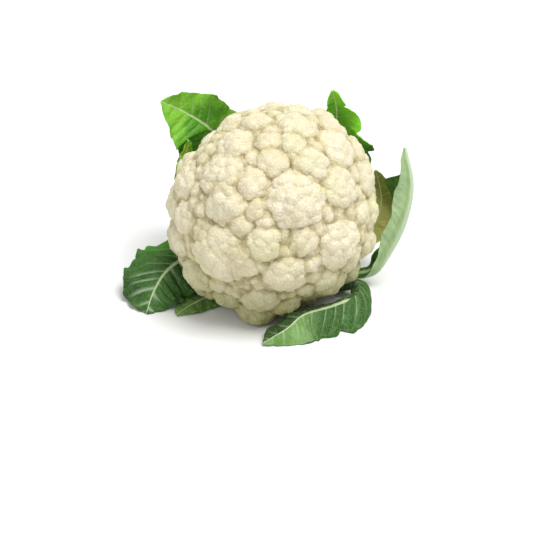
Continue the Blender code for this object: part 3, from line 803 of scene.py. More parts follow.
def floret_shape(directions, floret, radius, curd, draw):
    """A floret's surface along each direction, with how deep each place lies in its creases."""
    direction = floret[0]
    lobes = raised_balls(
        direction, radius, LOBE_SPAN, LOBE_SPACING, LOBE_BALL, LOBE_RISE,
        lambda out: np.full(len(out), radius - LOBE_RISE), draw,
    )
    lobed = len(lobes[1]) >= FEWEST_LOBES

    def lobe_reach(out):
        if not lobed:
            return np.full(len(out), radius - 0.5 * KNOB_PROUD)
        return blend_out(ball_hits(out, *lobes), np.full(len(out), radius - LOBE_RISE), LOBE_SOFT)

    knobs = raised_balls(
        direction, radius, KNOB_SPAN, curd.knob_spacing, KNOB_BALL, KNOB_PROUD, lobe_reach, draw
    )

    def knob_reach(out):
        return blend_out(ball_hits(out, *knobs), lobe_reach(out) - 0.5 * KNOB_PROUD, KNOB_SOFT)

    spacing = curd.grain_spacing
    grains = raised_balls(
        direction, radius, GRAIN_SPAN, spacing, GRAIN_BALL * spacing, GRAIN_RISE * spacing,
        knob_reach, draw,
    )
    smooth = knob_reach(directions)
    reach = blend_out(ball_hits(directions, *grains), smooth, GRAIN_SOFT)
    grain_crease = np.clip(1.0 - (reach - smooth) / (GRAIN_RISE * spacing), 0.0, 1.0)
    knob_crease = crease_lines(ball_hits(directions, *knobs), KNOB_CREASE_FADE)
    if lobed:
        lobe_crease = crease_lines(ball_hits(directions, *lobes), LOBE_CREASE_FADE)
        knob_crease = np.maximum(knob_crease, lobe_crease)
    return reach, grain_crease, knob_crease


def seed_ball(cuts, cache):
    """A unit ball of even triangles: a primitive, cut finer in edit mode. Made once per size."""
    if cuts not in cache:
        deselect_all()
        bpy.ops.mesh.primitive_ico_sphere_add(subdivisions=3, radius=1.0)
        ball = bpy.context.object
        bpy.ops.object.mode_set(mode="EDIT")
        bpy.ops.mesh.select_all(action="SELECT")
        bpy.ops.mesh.subdivide(number_cuts=cuts - 1)
        bpy.ops.mesh.quads_convert_to_tris()
        bpy.ops.object.mode_set(mode="OBJECT")
        places = mesh_places(ball)
        places /= np.linalg.norm(places, axis=1)[:, None]
        cache[cuts] = (ball, places)
    return cache[cuts]


def copy_of(thing):
    """A copy with its own mesh."""
    twin = thing.copy()
    twin.data = thing.data.copy()
    bpy.context.scene.collection.objects.link(twin)
    return twin


def crowd_outwards(places):
    """Moves a unit ball's points towards +Z, so that most of them lie on the outer cap."""
    area = 0.5 * (1.0 - places[:, 2])
    height = 1.0 - 2.0 * np.interp(area, (0.0, CAP_SHARE, 1.0), (0.0, CAP_AREA, 1.0))
    flat = np.sqrt(np.maximum(1.0 - height**2, 0.0))
    grown = flat / np.maximum(np.linalg.norm(places[:, :2], axis=1), 1e-9)
    return np.column_stack([places[:, :2] * grown[:, None], height])


def floret_clefts(places, own, balls):
    """How close each place is to the nearest other floret, and to the second nearest."""
    middles = np.array([ball[0] for number, ball in enumerate(balls) if number != own])
    radii = np.array([ball[1] for number, ball in enumerate(balls) if number != own])
    gaps = np.linalg.norm(places[:, None, :] - middles, axis=2) - radii - 0.5 * KNOB_PROUD
    gaps.partition(1, axis=1)
    near = np.exp(-np.maximum(gaps[:, :2], 0.0) / CLEFT_FADE)
    return near[:, 0], near[:, 0] * near[:, 1]


def make_floret(number, floret, balls, curd, cache, draw):
    """One floret: a ball shaped into knobs and grains, pressed flat where it meets the ground."""
    middle, radius = balls[number]
    step = curd.mesh_step * (1.0 if number < len(SEEN_FLORETS) else HIDDEN_STEP)
    cuts = int(np.clip(round(SEED_EDGE * radius / step / SEED_SPLITS), COARSEST_BALL, FINEST_BALL))
    ball, places = seed_ball(cuts, cache)
    thing = copy_of(ball)
    side, other = side_axes(floret[0])
    directions = crowd_outwards(places) @ np.array((side, other, floret[0]))
    reach, grain_crease, knob_crease = floret_shape(directions, floret, radius, curd, draw)
    local = middle + directions * reach[:, None]
    cleft, pit = floret_clefts(local, number, balls)
    world = HEAD_CENTRE + local
    world[:, 2] = np.maximum(world[:, 2], 0.0)
    set_places(thing, world)
    # The crease, cleft and pit values mark where the material paints shade.
    for crease, values in zip(CREASE_SHADES, (grain_crease, knob_crease, cleft, pit)):
        set_attribute(thing, crease[0], values)
    return thing


def link(tree, source, target):
    tree.links.new(source, target)


def add_node(tree, kind, **values):
    """Adds a node and sets its properties or its unlinked inputs by name."""
    node = tree.nodes.new(kind)
    for name, value in values.items():
        if hasattr(node, name):
            setattr(node, name, value)
        else:
            node.inputs[name.replace("_", " ")].default_value = value
    return node


def maths(tree, operation, first, second=None, clamp=False):
    """A math node. Each input is a socket or a number."""
    node = tree.nodes.new("ShaderNodeMath")
    node.operation = operation
    node.use_clamp = clamp
    for place, value in enumerate((first, second)):
        if value is None:
            continue
        if isinstance(value, (int, float)):
            node.inputs[place].default_value = value
        else:
            link(tree, value, node.inputs[place])
    return node.outputs[0]


def mix_colours(tree, factor, first, second, blend="MIX"):
    """A colour mix. Each input is a socket or a value."""
    node = tree.nodes.new("ShaderNodeMix")
    node.data_type = "RGBA"
    node.blend_type = blend
    for place, value in ((0, factor), (6, first), (7, second)):
        if isinstance(value, (int, float)):
            node.inputs[place].default_value = value
        elif isinstance(value, tuple) or not hasattr(value, "links"):
            node.inputs[place].default_value = (*value, 1.0)
        else:
            link(tree, value, node.inputs[place])
    return node.outputs[2]


def remap(tree, value, low, high, to_low=0.0, to_high=1.0):
    """A smooth change of a value's range."""
    node = tree.nodes.new("ShaderNodeMapRange")
    node.interpolation_type = "SMOOTHSTEP"
    link(tree, value, node.inputs["Value"])
    for name, number in zip(("From Min", "From Max", "To Min", "To Max"), (low, high, to_low, to_high)):
        node.inputs[name].default_value = number
    return node.outputs[0]


def attribute(tree, name):
    node = tree.nodes.new("ShaderNodeAttribute")
    node.attribute_name = name
    return node.outputs["Fac"]


def object_places(tree):
    return tree.nodes.new("ShaderNodeTexCoord").outputs["Object"]


def noise(tree, places, scale, detail=2.0, roughness=0.5):
    node = add_node(tree, "ShaderNodeTexNoise", Scale=scale, Detail=detail, Roughness=roughness)
    link(tree, places, node.inputs["Vector"])
    return node.outputs[0]


def cells(tree, places, scale, feature="F1"):
    node = tree.nodes.new("ShaderNodeTexVoronoi")
    node.feature = feature
    node.inputs["Scale"].default_value = scale
    link(tree, places, node.inputs["Vector"])
    return node.outputs["Distance"]


def bump(tree, height, distance, strength=1.0):
    node = add_node(tree, "ShaderNodeBump", Strength=strength, Distance=distance)
    link(tree, height, node.inputs["Height"])
    return node.outputs[0]


def set_inputs(shader, **values):
    """Sets a shader's inputs by name."""
    for name, value in values.items():
        shader.inputs[name.replace("_", " ")].default_value = value


def new_material(name):
    """An empty node material with a Principled shader, and its tree."""
    material = bpy.data.materials.new(name)
    material.use_nodes = True
    return material, material.node_tree, material.node_tree.nodes["Principled BSDF"]


def curd_material(curd):
    """Cream curd with pale mottling, painted shade in tan between its knobs and in its clefts and pits,
    and olive low down, painted shade with some of its own yellower tone.
    """
    material, tree, shader = new_material("curd_cream")
    places = object_places(tree)
    fine = noise(tree, places, 420.0, 3.0, 0.65)
    mottle = remap(tree, noise(tree, places, 55.0, 3.0, 0.6), 0.35, 0.65)
    colour = mix_colours(tree, mottle, tuple(curd.cream), (0.74, 0.68, 0.53))
    tint = maths(tree, "MULTIPLY", remap(tree, noise(tree, places, 21.0, 2.0, 0.5), 0.45, 0.65), 0.55)
    colour = mix_colours(tree, tint, colour, (0.64, 0.63, 0.39))
    # Painted shade: each crease value darkens the colour towards tan or the crease's own darker colour.
    for name, low, high, share, crease_shade_colour in CREASE_SHADES:
        crease = maths(tree, "MULTIPLY", remap(tree, attribute(tree, name), low, high), share)
        colour = mix_colours(tree, crease, colour, crease_shade_colour or tuple(curd.tan))
    # Painted shade, with some of the curd's own yellower tone: darker and more olive towards the ground.
    height = tree.nodes.new("ShaderNodeSeparateXYZ")
    link(tree, places, height.inputs[0])
    low = remap(tree, height.outputs["Z"], 0.070, 0.006)
    colour = mix_colours(tree, low, colour, (0.46, 0.49, 0.31), "MULTIPLY")
    flecks = maths(tree, "MULTIPLY", remap(tree, fine, 0.56, 0.72), 0.16)
    colour = mix_colours(tree, flecks, colour, (0.60, 0.52, 0.30))
    link(tree, colour, shader.inputs["Base Color"])
    set_inputs(shader, Roughness=0.60, Specular_IOR_Level=0.30, Subsurface_Weight=0.35)
    set_inputs(shader, Subsurface_Radius=(1.0, 0.85, 0.55), Subsurface_Scale=0.0022)
    relief = maths(tree, "SUBTRACT", fine, cells(tree, places, 820.0))
    link(tree, bump(tree, relief, 0.00030, 0.7), shader.inputs["Normal"])
    return material


def stalk_material(name, inner, outer):
    """Pale, juicy stalk with long fibres and a faint green skin."""
    material, tree, shader = new_material(name)
    places = object_places(tree)
    turned = tree.nodes.new("ShaderNodeMapping")
    turned.inputs["Location"].default_value = tuple(-HEAD_CENTRE)
    link(tree, places, turned.inputs["Vector"])
    blotches = noise(tree, places, 90.0, 4.0, 0.6)
    fibres = tree.nodes.new("ShaderNodeMapping")
    fibres.inputs["Rotation"].default_value = (-LEAN_FRONT, LEAN_RIGHT, 0.0)
    fibres.inputs["Scale"].default_value = (1.0, 1.0, 0.08)
    link(tree, turned.outputs[0], fibres.inputs["Vector"])
    streaks = noise(tree, fibres.outputs[0], 700.0, 3.0, 0.6)
    colour = mix_colours(tree, remap(tree, blotches, 0.35, 0.65), inner, outer)
    dark = maths(tree, "MULTIPLY", remap(tree, streaks, 0.5, 0.7), 0.35)
    colour = mix_colours(tree, dark, colour, tuple(0.62 * value for value in outer))
    link(tree, colour, shader.inputs["Base Color"])
    set_inputs(shader, Roughness=0.45, Subsurface_Weight=0.15)
    set_inputs(shader, Subsurface_Radius=(1.0, 0.8, 0.4), Subsurface_Scale=0.002)
    link(tree, bump(tree, streaks, 0.0003, 0.8), shader.inputs["Normal"])
    return material


def vein_lines(tree):
    """From the leaf's own map: 1 on a side vein, and 1 in the wider band beside it."""
    across = tree.nodes.new("ShaderNodeUVMap")
    across.uv_map = "veins"
    split = tree.nodes.new("ShaderNodeSeparateXYZ")
    link(tree, across.outputs[0], split.inputs[0])
    turn = maths(tree, "FRACT", split.outputs["X"])
    away = maths(tree, "ABSOLUTE", maths(tree, "SUBTRACT", turn, 0.5))
    width = remap(tree, split.outputs["Y"], 0.0, 1.0, 0.075, 0.024)
    line = maths(tree, "SUBTRACT", 1.0, maths(tree, "DIVIDE", away, width), clamp=True)
    line = maths(tree, "MULTIPLY", line, remap(tree, split.outputs["Y"], 0.55, 0.98, 1.0, 0.15))
    beside = remap(tree, away, 0.26, 0.04)
    return line, maths(tree, "MULTIPLY", beside, remap(tree, split.outputs["Y"], 1.0, 0.5))


def distance_along(tree, places, direction):
    """How far a place lies along a direction, or across the blade for the word side."""
    if direction == "side":
        return attribute(tree, "side")
    distance = add_node(tree, "ShaderNodeVectorMath", operation="DOT_PRODUCT")
    distance.inputs[1].default_value = direction
    link(tree, places, distance.inputs[0])
    return distance.outputs["Value"]


def leaf_material(name, green, dark, vein, wax_and_sheen, sweeps, outer_face):
    """A leaf's face: mottled green with a pale rib, side veins and a fine net between them."""
    material, tree, shader = new_material(name)
    places = object_places(tree)
    patches = noise(tree, places, 38.0, 3.0, 0.55)
    fine = noise(tree, places, 260.0, 3.0, 0.6)
    colour = mix_colours(tree, remap(tree, patches, 0.38, 0.68), green, dark)
    # Each sweep mixes towards its colour; most of them paint shade.
    for direction, start, end, end_colour in sweeps:
        reached = remap(tree, distance_along(tree, places, direction), start, end)
        colour = mix_colours(tree, reached, colour, end_colour)
    colour = mix_colours(tree, maths(tree, "MULTIPLY", fine, 0.35), colour, dark)
    lines, beside = vein_lines(tree)
    cloudy = remap(tree, noise(tree, places, 42.0, 2.0, 0.5), 0.38, 0.60)
    # Pale wax bloom, partly real and partly painted sheen, in bands beside the side veins.
    wax_and_sheen_bands = maths(tree, "MULTIPLY", maths(tree, "MULTIPLY", beside, cloudy), wax_and_sheen)
    colour = mix_colours(tree, wax_and_sheen_bands, colour, WAX_AND_SHEEN_COLOUR)
    net = cells(tree, places, 230.0, "DISTANCE_TO_EDGE")
    net_line = maths(tree, "MULTIPLY", remap(tree, net, 0.09, 0.0), 0.10)
    colour = mix_colours(tree, net_line, colour, vein)
    small = cells(tree, places, 620.0, "DISTANCE_TO_EDGE")
    small_line = maths(tree, "MULTIPLY", remap(tree, small, 0.10, 0.0), 0.06)
    colour = mix_colours(tree, small_line, colour, vein)
    colour = mix_colours(tree, maths(tree, "MULTIPLY", lines, 0.50), colour, vein)
    rib = remap(tree, attribute(tree, "rib"), 1.05, 0.55)
    pale = vein if outer_face else tuple(min(1.0, 1.12 * value + 0.02) for value in vein)
    colour = mix_colours(tree, maths(tree, "MULTIPLY", rib, 0.85), colour, pale)
    link(tree, colour, shader.inputs["Base Color"])
    if outer_face:
        set_inputs(shader, Roughness=0.62, Specular_IOR_Level=0.20)
    else:
        set_inputs(shader, Roughness=0.45, Specular_IOR_Level=0.22)
    relief = maths(tree, "ADD", maths(tree, "MULTIPLY", remap(tree, net, 0.0, 0.25), 0.6), fine)
    link(tree, bump(tree, relief, 0.0004, 0.6), shader.inputs["Normal"])
    glow = tree.nodes.new("ShaderNodeBsdfTranslucent")
    link(tree, mix_colours(tree, 0.5, colour, (0.25, 0.58, 0.02)), glow.inputs["Color"])
    through = tree.nodes.new("ShaderNodeMixShader")
    through.inputs[0].default_value = 0.16
    link(tree, shader.outputs[0], through.inputs[1])
    link(tree, glow.outputs[0], through.inputs[2])
    link(tree, through.outputs[0], tree.nodes["Material Output"].inputs["Surface"])
    return material


def stalk_root(turn_degrees, depth, out):
    """A point beside the stem, at a depth below the head's middle and out from the axis."""
    turn = math.radians(turn_degrees)
    side = math.cos(turn) * SIDE_AXIS + math.sin(turn) * BACK_AXIS
    return HEAD_CENTRE - depth * HEAD_AXIS + out * side


def smooth_through(values, x):
    """A smooth curve through evenly spaced values (numbers or rows), read at x from 0 to 1."""
    values = np.asarray(values, float)
    last = len(values) - 1
    padded = np.concatenate([2 * values[:1] - values[1:2], values, 2 * values[-1:] - values[-2:-1]])
    place = np.clip(x, 0.0, 1.0) * last
    start = np.minimum(place.astype(int), last - 1)
    t = (place - start).reshape((-1,) + (1,) * (values.ndim - 1))
    before, here, after, beyond = (padded[start + step] for step in range(4))
    straight = 2 * here + (after - before) * t
    bend = (2 * before - 5 * here + 4 * after - beyond) * t**2
    twist = (3 * here - before - 3 * after + beyond) * t**3
    return 0.5 * (straight + bend + twist)


def spine_at(rows, along):
    """Rows of the spine's curve, spaced by its length, at along from 0 to 1, and its length."""
    fine = smooth_through(rows, np.linspace(0.0, 1.0, CURVE_STEPS * len(rows)))
    steps = np.linalg.norm(np.diff(fine[:, :3], axis=0), axis=1)
    length = np.concatenate([[0.0], np.cumsum(steps)])
    share = length / length[-1]
    return np.stack([np.interp(along, share, column) for column in fine.T], axis=-1), length[-1]


def keep_clear_of_head(places, clear):
    """Moves points outwards until they are outside the curd and its rim."""
    arms = places - HEAD_CENTRE
    distance = np.linalg.norm(arms, axis=-1)
    polar = np.degrees(np.arccos(np.clip(arms @ HEAD_AXIS / distance, -1.0, 1.0)))
    limits = (clear, clear, 0.0830, 0.0660, 0.0500, 0.0450)
    needed = np.interp(polar, (0, 118, 130, 142, 155, 180), limits)
    needed = needed + np.maximum(swell(arms / distance[..., None]), -DENT_FOLLOWED)
    return HEAD_CENTRE + arms * np.maximum(1.0, needed / distance)[..., None]


def keep_clear_of_stem(places):
    """Moves points beside the stem outwards until they are a gap away from its side."""
    arms = places - HEAD_CENTRE
    depth = -(arms @ HEAD_AXIS)
    across = arms + depth[..., None] * HEAD_AXIS
    distance = np.linalg.norm(across, axis=-1)
    beside = (depth > UNDERSIDE_DEPTH - STEM_RADIUS) & (depth < STEM_END_DEPTH + STEM_RADIUS)
    grown = np.maximum(1.0, (STEM_RADIUS + GAP) / distance)
    moved = HEAD_CENTRE - depth[..., None] * HEAD_AXIS + across * grown[..., None]
    return np.where(beside[..., None], moved, places)


def above_ground(height):
    """Eases heights near the ground so that they end a blade's thickness above it."""
    ease = 0.0008
    return GROUND_CLEAR + ease * np.logaddexp(0.0, (height - GROUND_CLEAR) / ease)


def leaf_spine_rows(leaf):
    """The leaf's spine: its root beside the stem, then the listed points."""
    root = stalk_root(*leaf["root"], STEM_RADIUS + GAP)
    first = [*root, *leaf["first_face"]]
    rest = [[*(np.array(point[:3]) + GROUND_POINT), *point[3:]] for point in leaf["spine"]]
    return np.array([first] + rest)


def margin_teeth(leaf, hand, x):
    """The small lobes and teeth of the margin, and the notches cut into it."""
    phase = 10.0 * leaf["stalk"] * 1000.0 + 2.0 * hand
    teeth = TEETH_SINK
    for height, count, shift in TEETH:
        teeth = teeth + height * np.sin(2.0 * math.pi * count * x + shift * phase)
    teeth = leaf["teeth"] * teeth
    for side, place, depth, width in leaf["notches"]:
        if side * hand > 0:
            teeth = teeth - depth * np.exp(-(((x - place) / width) ** 2))
    return 1.0 + teeth


def leaf_width(leaf, hand, x, along):
    """Half-width of the blade at x from its start to its tip, or of the stalk before it."""
    blade = smooth_through(leaf["left" if hand < 0 else "right"], x)
    edge = 1.0 + leaf["scallop"] * np.sin(2.0 * math.pi * leaf["scallops"] * x + 2.1 * (hand > 0))
    round_tip = np.sqrt(np.clip(1.0 - x**7, 0.0, 1.0))
    stalk = leaf["stalk"] * (1.0 - 0.85 * along)
    return np.maximum(blade * edge * round_tip * margin_teeth(leaf, hand, x), stalk)


def blade_rows(leaf, along):
    """How far along its blade each row of a leaf lies, and how far the blade has opened there."""
    x = np.clip((along - leaf["start"]) / (1.0 - leaf["start"]), 0.0, 1.0)
    return x, np.clip(x * OPENING, 0.0, 1.0)


def blade_columns(leaf, along, across):
    """For each column of a leaf: its share, its hand, how far out it lies, and the half-width."""
    x, opening = blade_rows(leaf, along)
    for share in across:
        hand = -1.0 if share < 0 else 1.0
        yield share, hand, abs(share) ** (1.0 + CROWDING * opening), leaf_width(leaf, hand, x, along)


def leaf_lines(leaf, along, across, length, spacing):
    """For each place of the leaf: its side-vein number and its distance from the rib."""
    numbers, outs = [], []
    for _, hand, part, width in blade_columns(leaf, along, across):
        out = part * width
        run = along * length - VEIN_SLANT * out - VEIN_BEND * out**2
        number = run / spacing + (0.5 if hand > 0 else 0.0)
        number = number + VEIN_WANDER * np.sin(1.9 * number + 3.0 * hand + 1000.0 * leaf["stalk"])
        numbers.append(number)
        outs.append(out)
    return np.stack(numbers, axis=1), np.stack(outs, axis=1)


def side_values(values, x):
    """A leaf's value at each x: one number for the whole leaf, or a smooth curve."""
    if isinstance(values, tuple):
        return smooth_through(values, x)
    return np.full(len(x), float(values))


def leaf_surface(leaf, along, across, spacing):
    """Points of the leaf's inner face, with its vein numbers and distances from the rib."""
    rows, length = spine_at(leaf_spine_rows(leaf), along)
    middle, face = rows[:, :3], rows[:, 3:]
    tangent = np.gradient(middle, along, axis=0)
    tangent /= np.linalg.norm(tangent, axis=1)[:, None]
    face = face - (face * tangent).sum(axis=1)[:, None] * tangent
    face /= np.linalg.norm(face, axis=1)[:, None]
    side = np.cross(tangent, face)
    x, opening = blade_rows(leaf, along)
    ending = np.clip((1.0 - x) * ENDING, 0.0, 1.0)
    columns = []
    for _, hand, out, width in blade_columns(leaf, along, across):
        cup = np.radians(side_values(leaf["cup"][0 if hand < 0 else 1], x))
        curl = math.radians(leaf["curl"][0 if hand < 0 else 1]) * opening
        turn = cup * opening + 0.5 * curl * out
        wave = leaf["ruffle"] * out**2 * opening * ending
        wave = wave * np.sin(2.0 * math.pi * leaf["ruffles"] * x + 1.3 * (hand > 0))
        frill = leaf.get("frill", FRILL) * out**4 * opening * np.sin(2.0 * math.pi * 8.5 * x + 2.3 * hand)
        sideways = (hand * out * width * np.cos(turn))[:, None] * side
        lifted = (out * width * np.sin(turn) + wave + frill)[:, None] * face
        columns.append(middle + sideways + lifted)
    places = keep_clear_of_head(np.stack(columns, axis=1), leaf.get("clear", LEAF_CLEAR))
    numbers, outs = leaf_lines(leaf, along, across, length, spacing)
    places = places + leaf_relief(places, numbers, outs, leaf, x)
    places = keep_clear_of_stem(places)
    places[..., 2] = above_ground(places[..., 2])
    return places, numbers, outs


def leaf_relief(places, numbers, outs, leaf, x):
    """The blade's puckers: it stands up between the side veins and sinks along each of them."""
    normal = np.cross(np.gradient(places, axis=1), np.gradient(places, axis=0))
    normal /= np.maximum(np.linalg.norm(normal, axis=-1), 1e-12)[..., None]
    sunk = np.abs(np.mod(numbers, 1.0) - 0.5)
    pucker = leaf["pucker"] * (np.sin(math.pi * np.clip(sunk, 0.0, 0.5)) - 0.4)
    blister = BLISTER * np.sin(2.0 * math.pi * numbers * 2.7 + 400.0 * outs)
    blister = blister * np.sin(900.0 * outs + 3.0 * numbers)
    on_blade = np.clip(x * 4.0, 0.0, 1.0)[:, None] * np.clip(outs / 0.006, 0.0, 1.0)
    edge = np.clip(1.15 - outs / np.maximum(outs.max(axis=1), 1e-6)[:, None], 0.0, 1.0)
    return normal * ((pucker + blister) * on_blade * np.sqrt(edge))[..., None]


def leaf_depth(leaf, along, across):
    """Thickness behind the inner face: the rib in the middle, thin at the edges."""
    x, _ = blade_rows(leaf, along)
    rib_width = leaf["stalk"] * (1.0 - 0.75 * along)
    rib_height = RIB_HEIGHT * leaf["stalk"] * (1.0 - 0.88 * along**0.8)
    depths, ribs = [], []
    for share, _, part, width in blade_columns(leaf, along, across):
        out = part * width
        hump = np.cos(0.5 * math.pi * np.clip(out / rib_width, 0.0, 1.0))
        depths.append(LEAF_THICKNESS * (1.0 - EDGE_THINNING * abs(share)) + rib_height * hump)
        rib = out / (0.55 * leaf["stalk"] * (1.0 - 0.94 * along))
        ribs.append(rib + 2.0 * np.clip((leaf.get("rib_from", 0.0) - x) / 0.08, 0.0, 1.0))
    return np.stack(depths, axis=1), np.stack(ribs, axis=1)


def grid_piece(rows, columns):
    """A flat grid, added as a primitive, with each point's row and column."""
    deselect_all()
    bpy.ops.mesh.primitive_grid_add(x_subdivisions=columns, y_subdivisions=rows, size=2.0)
    thing = bpy.context.object
    places = mesh_places(thing)
    row = np.rint(0.5 * (places[:, 1] + 1.0) * rows).astype(int)
    column = np.rint(0.5 * (places[:, 0] + 1.0) * columns).astype(int)
    return thing, row, column


def thicken(thing, depths):
    """Gives a sheet its thickness on the outer side, different at each point, and closes it."""
    deepest = float(depths.max())
    group = thing.vertex_groups.new(name="thickness")
    for number, depth in enumerate(depths):
        group.add([number], float(depth) / deepest, "REPLACE")
    solid = thing.modifiers.new("thickness", "SOLIDIFY")
    solid.thickness = deepest
    solid.offset = -1.0
    solid.vertex_group = "thickness"
    solid.use_even_offset = False
    solid.material_offset = 1
    select_only([thing])
    bpy.ops.object.modifier_apply(modifier="thickness")
    thing.vertex_groups.clear()


def set_vein_map(thing, numbers, shares):
    """The leaf's own map: side-vein number and share of the width, for the vein pattern."""
    layer = thing.data.uv_layers[0]
    layer.name = "veins"
    loops = np.empty(len(thing.data.loops), int)
    thing.data.loops.foreach_get("vertex_index", loops)
    pairs = np.column_stack([numbers[loops], shares[loops]])
    layer.data.foreach_set("uv", np.ascontiguousarray(pairs, np.float32).ravel())


def make_leaf(name, leaf, settings, materials):
    """One leaf: a grid laid on its spine, waved and veined, with a rib on its outer face."""
    thing, row, column = grid_piece(settings.rows, settings.columns)
    along = np.linspace(0.0, 1.0, settings.rows + 1) ** 0.9
    across = np.linspace(-1.0, 1.0, settings.columns + 1)
    places, numbers, outs = leaf_surface(leaf, along, across, settings.vein_spacing)
    depths, ribs = leaf_depth(leaf, along, across)
    shares = np.repeat(np.abs(across)[None], len(along), axis=0)
    set_places(thing, places[row, column])
    set_attribute(thing, "rib", ribs[row, column])
    set_attribute(thing, "side", across[column])
    set_vein_map(thing, numbers[row, column], shares[row, column])
    for material in materials:
        thing.data.materials.append(material)
    thicken(thing, depths[row, column])
    set_places(thing, np.clip(keep_clear_of_stem(mesh_places(thing)), BOX_LOW, BOX_HIGH))
    select_only([thing])
    bpy.ops.object.shade_smooth_by_angle(angle=LEAF_ANGLE)
    return finish_piece(thing, name + "_blade", [name])


def make_cut_stalk(name, stalk, material):
    """The short end of a trimmed leaf's stalk, reaching out from the stem."""
    thing, row, column = grid_piece(CUT_STALK_ROWS, CUT_STALK_COLUMNS)
    start = stalk_root(*stalk["root"], STEM_RADIUS + GAP)
    end = stalk_root(*stalk["root"], STEM_RADIUS + GAP + stalk["reach"])
    end = end + np.array((0.0, 0.0, stalk["droop"]))
    tangent = unit(end - start)
    side = unit(np.cross(tangent, HEAD_AXIS))
    normal = np.cross(side, tangent)
    share = np.linspace(-1.0, 1.0, CUT_STALK_COLUMNS + 1)[column]
    along = np.linspace(0.0, 1.0, CUT_STALK_ROWS + 1)[row]
    width = CUT_STALK_WIDTH * (1.0 - 0.25 * along)
    places = start + along[:, None] * (end - start) + (share * width)[:, None] * side
    places = places - (0.12 * width * (1.0 - share**2))[:, None] * normal
    places[:, 2] = np.maximum(places[:, 2], GROUND_CLEAR)
    set_places(thing, places)
    fibre = 1.0 + 0.035 * np.sin(14.0 * math.pi * share)
    thing.data.materials.append(material)
    thicken(thing, LEAF_THICKNESS + CUT_STALK_WIDTH * fibre * np.sqrt(1.0 - share**2))
    solid = keep_clear_of_stem(mesh_places(thing))
    solid[:, 2] = np.maximum(solid[:, 2], 0.0)
    set_places(thing, solid)
    select_only([thing])
    bpy.ops.object.shade_smooth_by_angle(angle=STALK_ANGLE)
    return finish_piece(thing, name + "_end", [name])


def make_core(cache):
    """The curd's inside: a ball with a flat underside where the branches meet the stalk."""
    ball, directions = seed_ball(CORE_CUTS, cache)
    thing = copy_of(ball)
    along = directions @ HEAD_AXIS
    down = np.maximum(-along, 1e-6)
    floor = UNDERSIDE_DEPTH / down
    turn = np.arctan2(directions @ BACK_AXIS, directions @ SIDE_AXIS)
    outward = np.clip((floor * np.sqrt(1.0 - along**2) - 1.3 * STEM_RADIUS) / STEM_RADIUS, 0.0, 1.0)
    floor = floor + BRANCH_HEIGHT * outward * np.cos(BRANCH_COUNT * turn)
    inside = CORE_RADIUS - CORE_SINK + np.minimum(swell(directions), 0.0)
    reach = np.minimum(inside, floor)
    world = HEAD_CENTRE + directions * reach[:, None]
    world[:, 2] = np.maximum(world[:, 2], 0.0)
    set_places(thing, world)
    # The core's covered part takes the crease values, so the material paints it dark as shade where it
    # shows between florets.
    hidden = (inside < floor).astype(float)
    for crease, share in zip(CREASE_SHADES, (0.5, 1.0, 1.0, 0.7)):
        set_attribute(thing, crease[0], share * hidden)
    return thing


def make_stem():
    """The stalk below the head: a cylinder with ridges and a rough cut end."""
    deselect_all()
    bpy.ops.mesh.primitive_cylinder_add(vertices=STEM_SIDES, radius=1.0, depth=1.0, end_fill_type="TRIFAN")
    thing = bpy.context.object
    bpy.ops.object.mode_set(mode="EDIT")
    bpy.ops.mesh.select_all(action="SELECT")
    bpy.ops.mesh.subdivide(number_cuts=STEM_CUTS)
    bpy.ops.mesh.quads_convert_to_tris()
    bpy.ops.object.mode_set(mode="OBJECT")
    places = mesh_places(thing)
    turn = np.arctan2(places[:, 1], places[:, 0])
    slice_angle = 2.0 * math.pi / STEM_SIDES
    offset = np.mod(turn - 0.5 * slice_angle + math.pi / 2.0, slice_angle) - 0.5 * slice_angle
    rounding = np.cos(offset) / math.cos(0.5 * slice_angle)
    out = np.clip(np.hypot(places[:, 0], places[:, 1]) * rounding, 0.0, 1.0)
    part = 0.5 - places[:, 2]
    radius = STEM_RADIUS + part * (STEM_BOTTOM_RADIUS - STEM_RADIUS)
    fine, fine_count = FINE_RIDGES
    broad, broad_count = BROAD_RIDGES
    ridges = fine * np.sin(fine_count * turn) + broad * np.sin(broad_count * turn + 4.0 * part)
    radius = radius - STEM_INSET + ridges
    rough = CUT_ROUGHNESS[0] * np.sin(CUT_ROUGHNESS[1] * out) * (part > 0.999) * out * (1.0 - out)
    depth = UNDERSIDE_DEPTH + GAP + part * (STEM_END_DEPTH - UNDERSIDE_DEPTH - GAP) - rough
    side = np.cos(turn)[:, None] * SIDE_AXIS + np.sin(turn)[:, None] * BACK_AXIS
    world = HEAD_CENTRE - depth[:, None] * HEAD_AXIS + (radius * out)[:, None] * side
    world[:, 2] = np.maximum(world[:, 2], 0.0)
    set_places(thing, world)
    return thing


class CAULIFLOWER_OT_florets(bpy.types.Operator):
    """Adds the curd's florets, each with its knobs and grains, and its hidden core"""

    bl_idname = "cauliflower.florets"
    bl_label = "Add Florets"

    def execute(self, context):
        curd = context.scene.cauliflower_curd
        florets = floret_list()
        balls = [floret_ball(floret) for floret in florets]
        draw = np.random.default_rng(GRAIN_SEED)
        cache, groups = {}, {}
        for number, floret in enumerate(florets):
            piece = make_floret(number, floret, balls, curd, cache, draw)
            groups.setdefault(floret[3], []).append(piece)
        groups["curd_core"] = [make_core(cache)]
        material = curd_material(curd)
        for name, members in groups.items():
            select_only(members)
            if len(members) > 1:
                bpy.ops.object.join()
            thing = bpy.context.object
            thing.data.materials.clear()
            thing.data.materials.append(material)
            bpy.ops.object.shade_smooth()
            finish_piece(thing, name, ["curd"])
        for ball, _ in cache.values():
            bpy.data.objects.remove(ball, do_unlink=True)
        return {"FINISHED"}


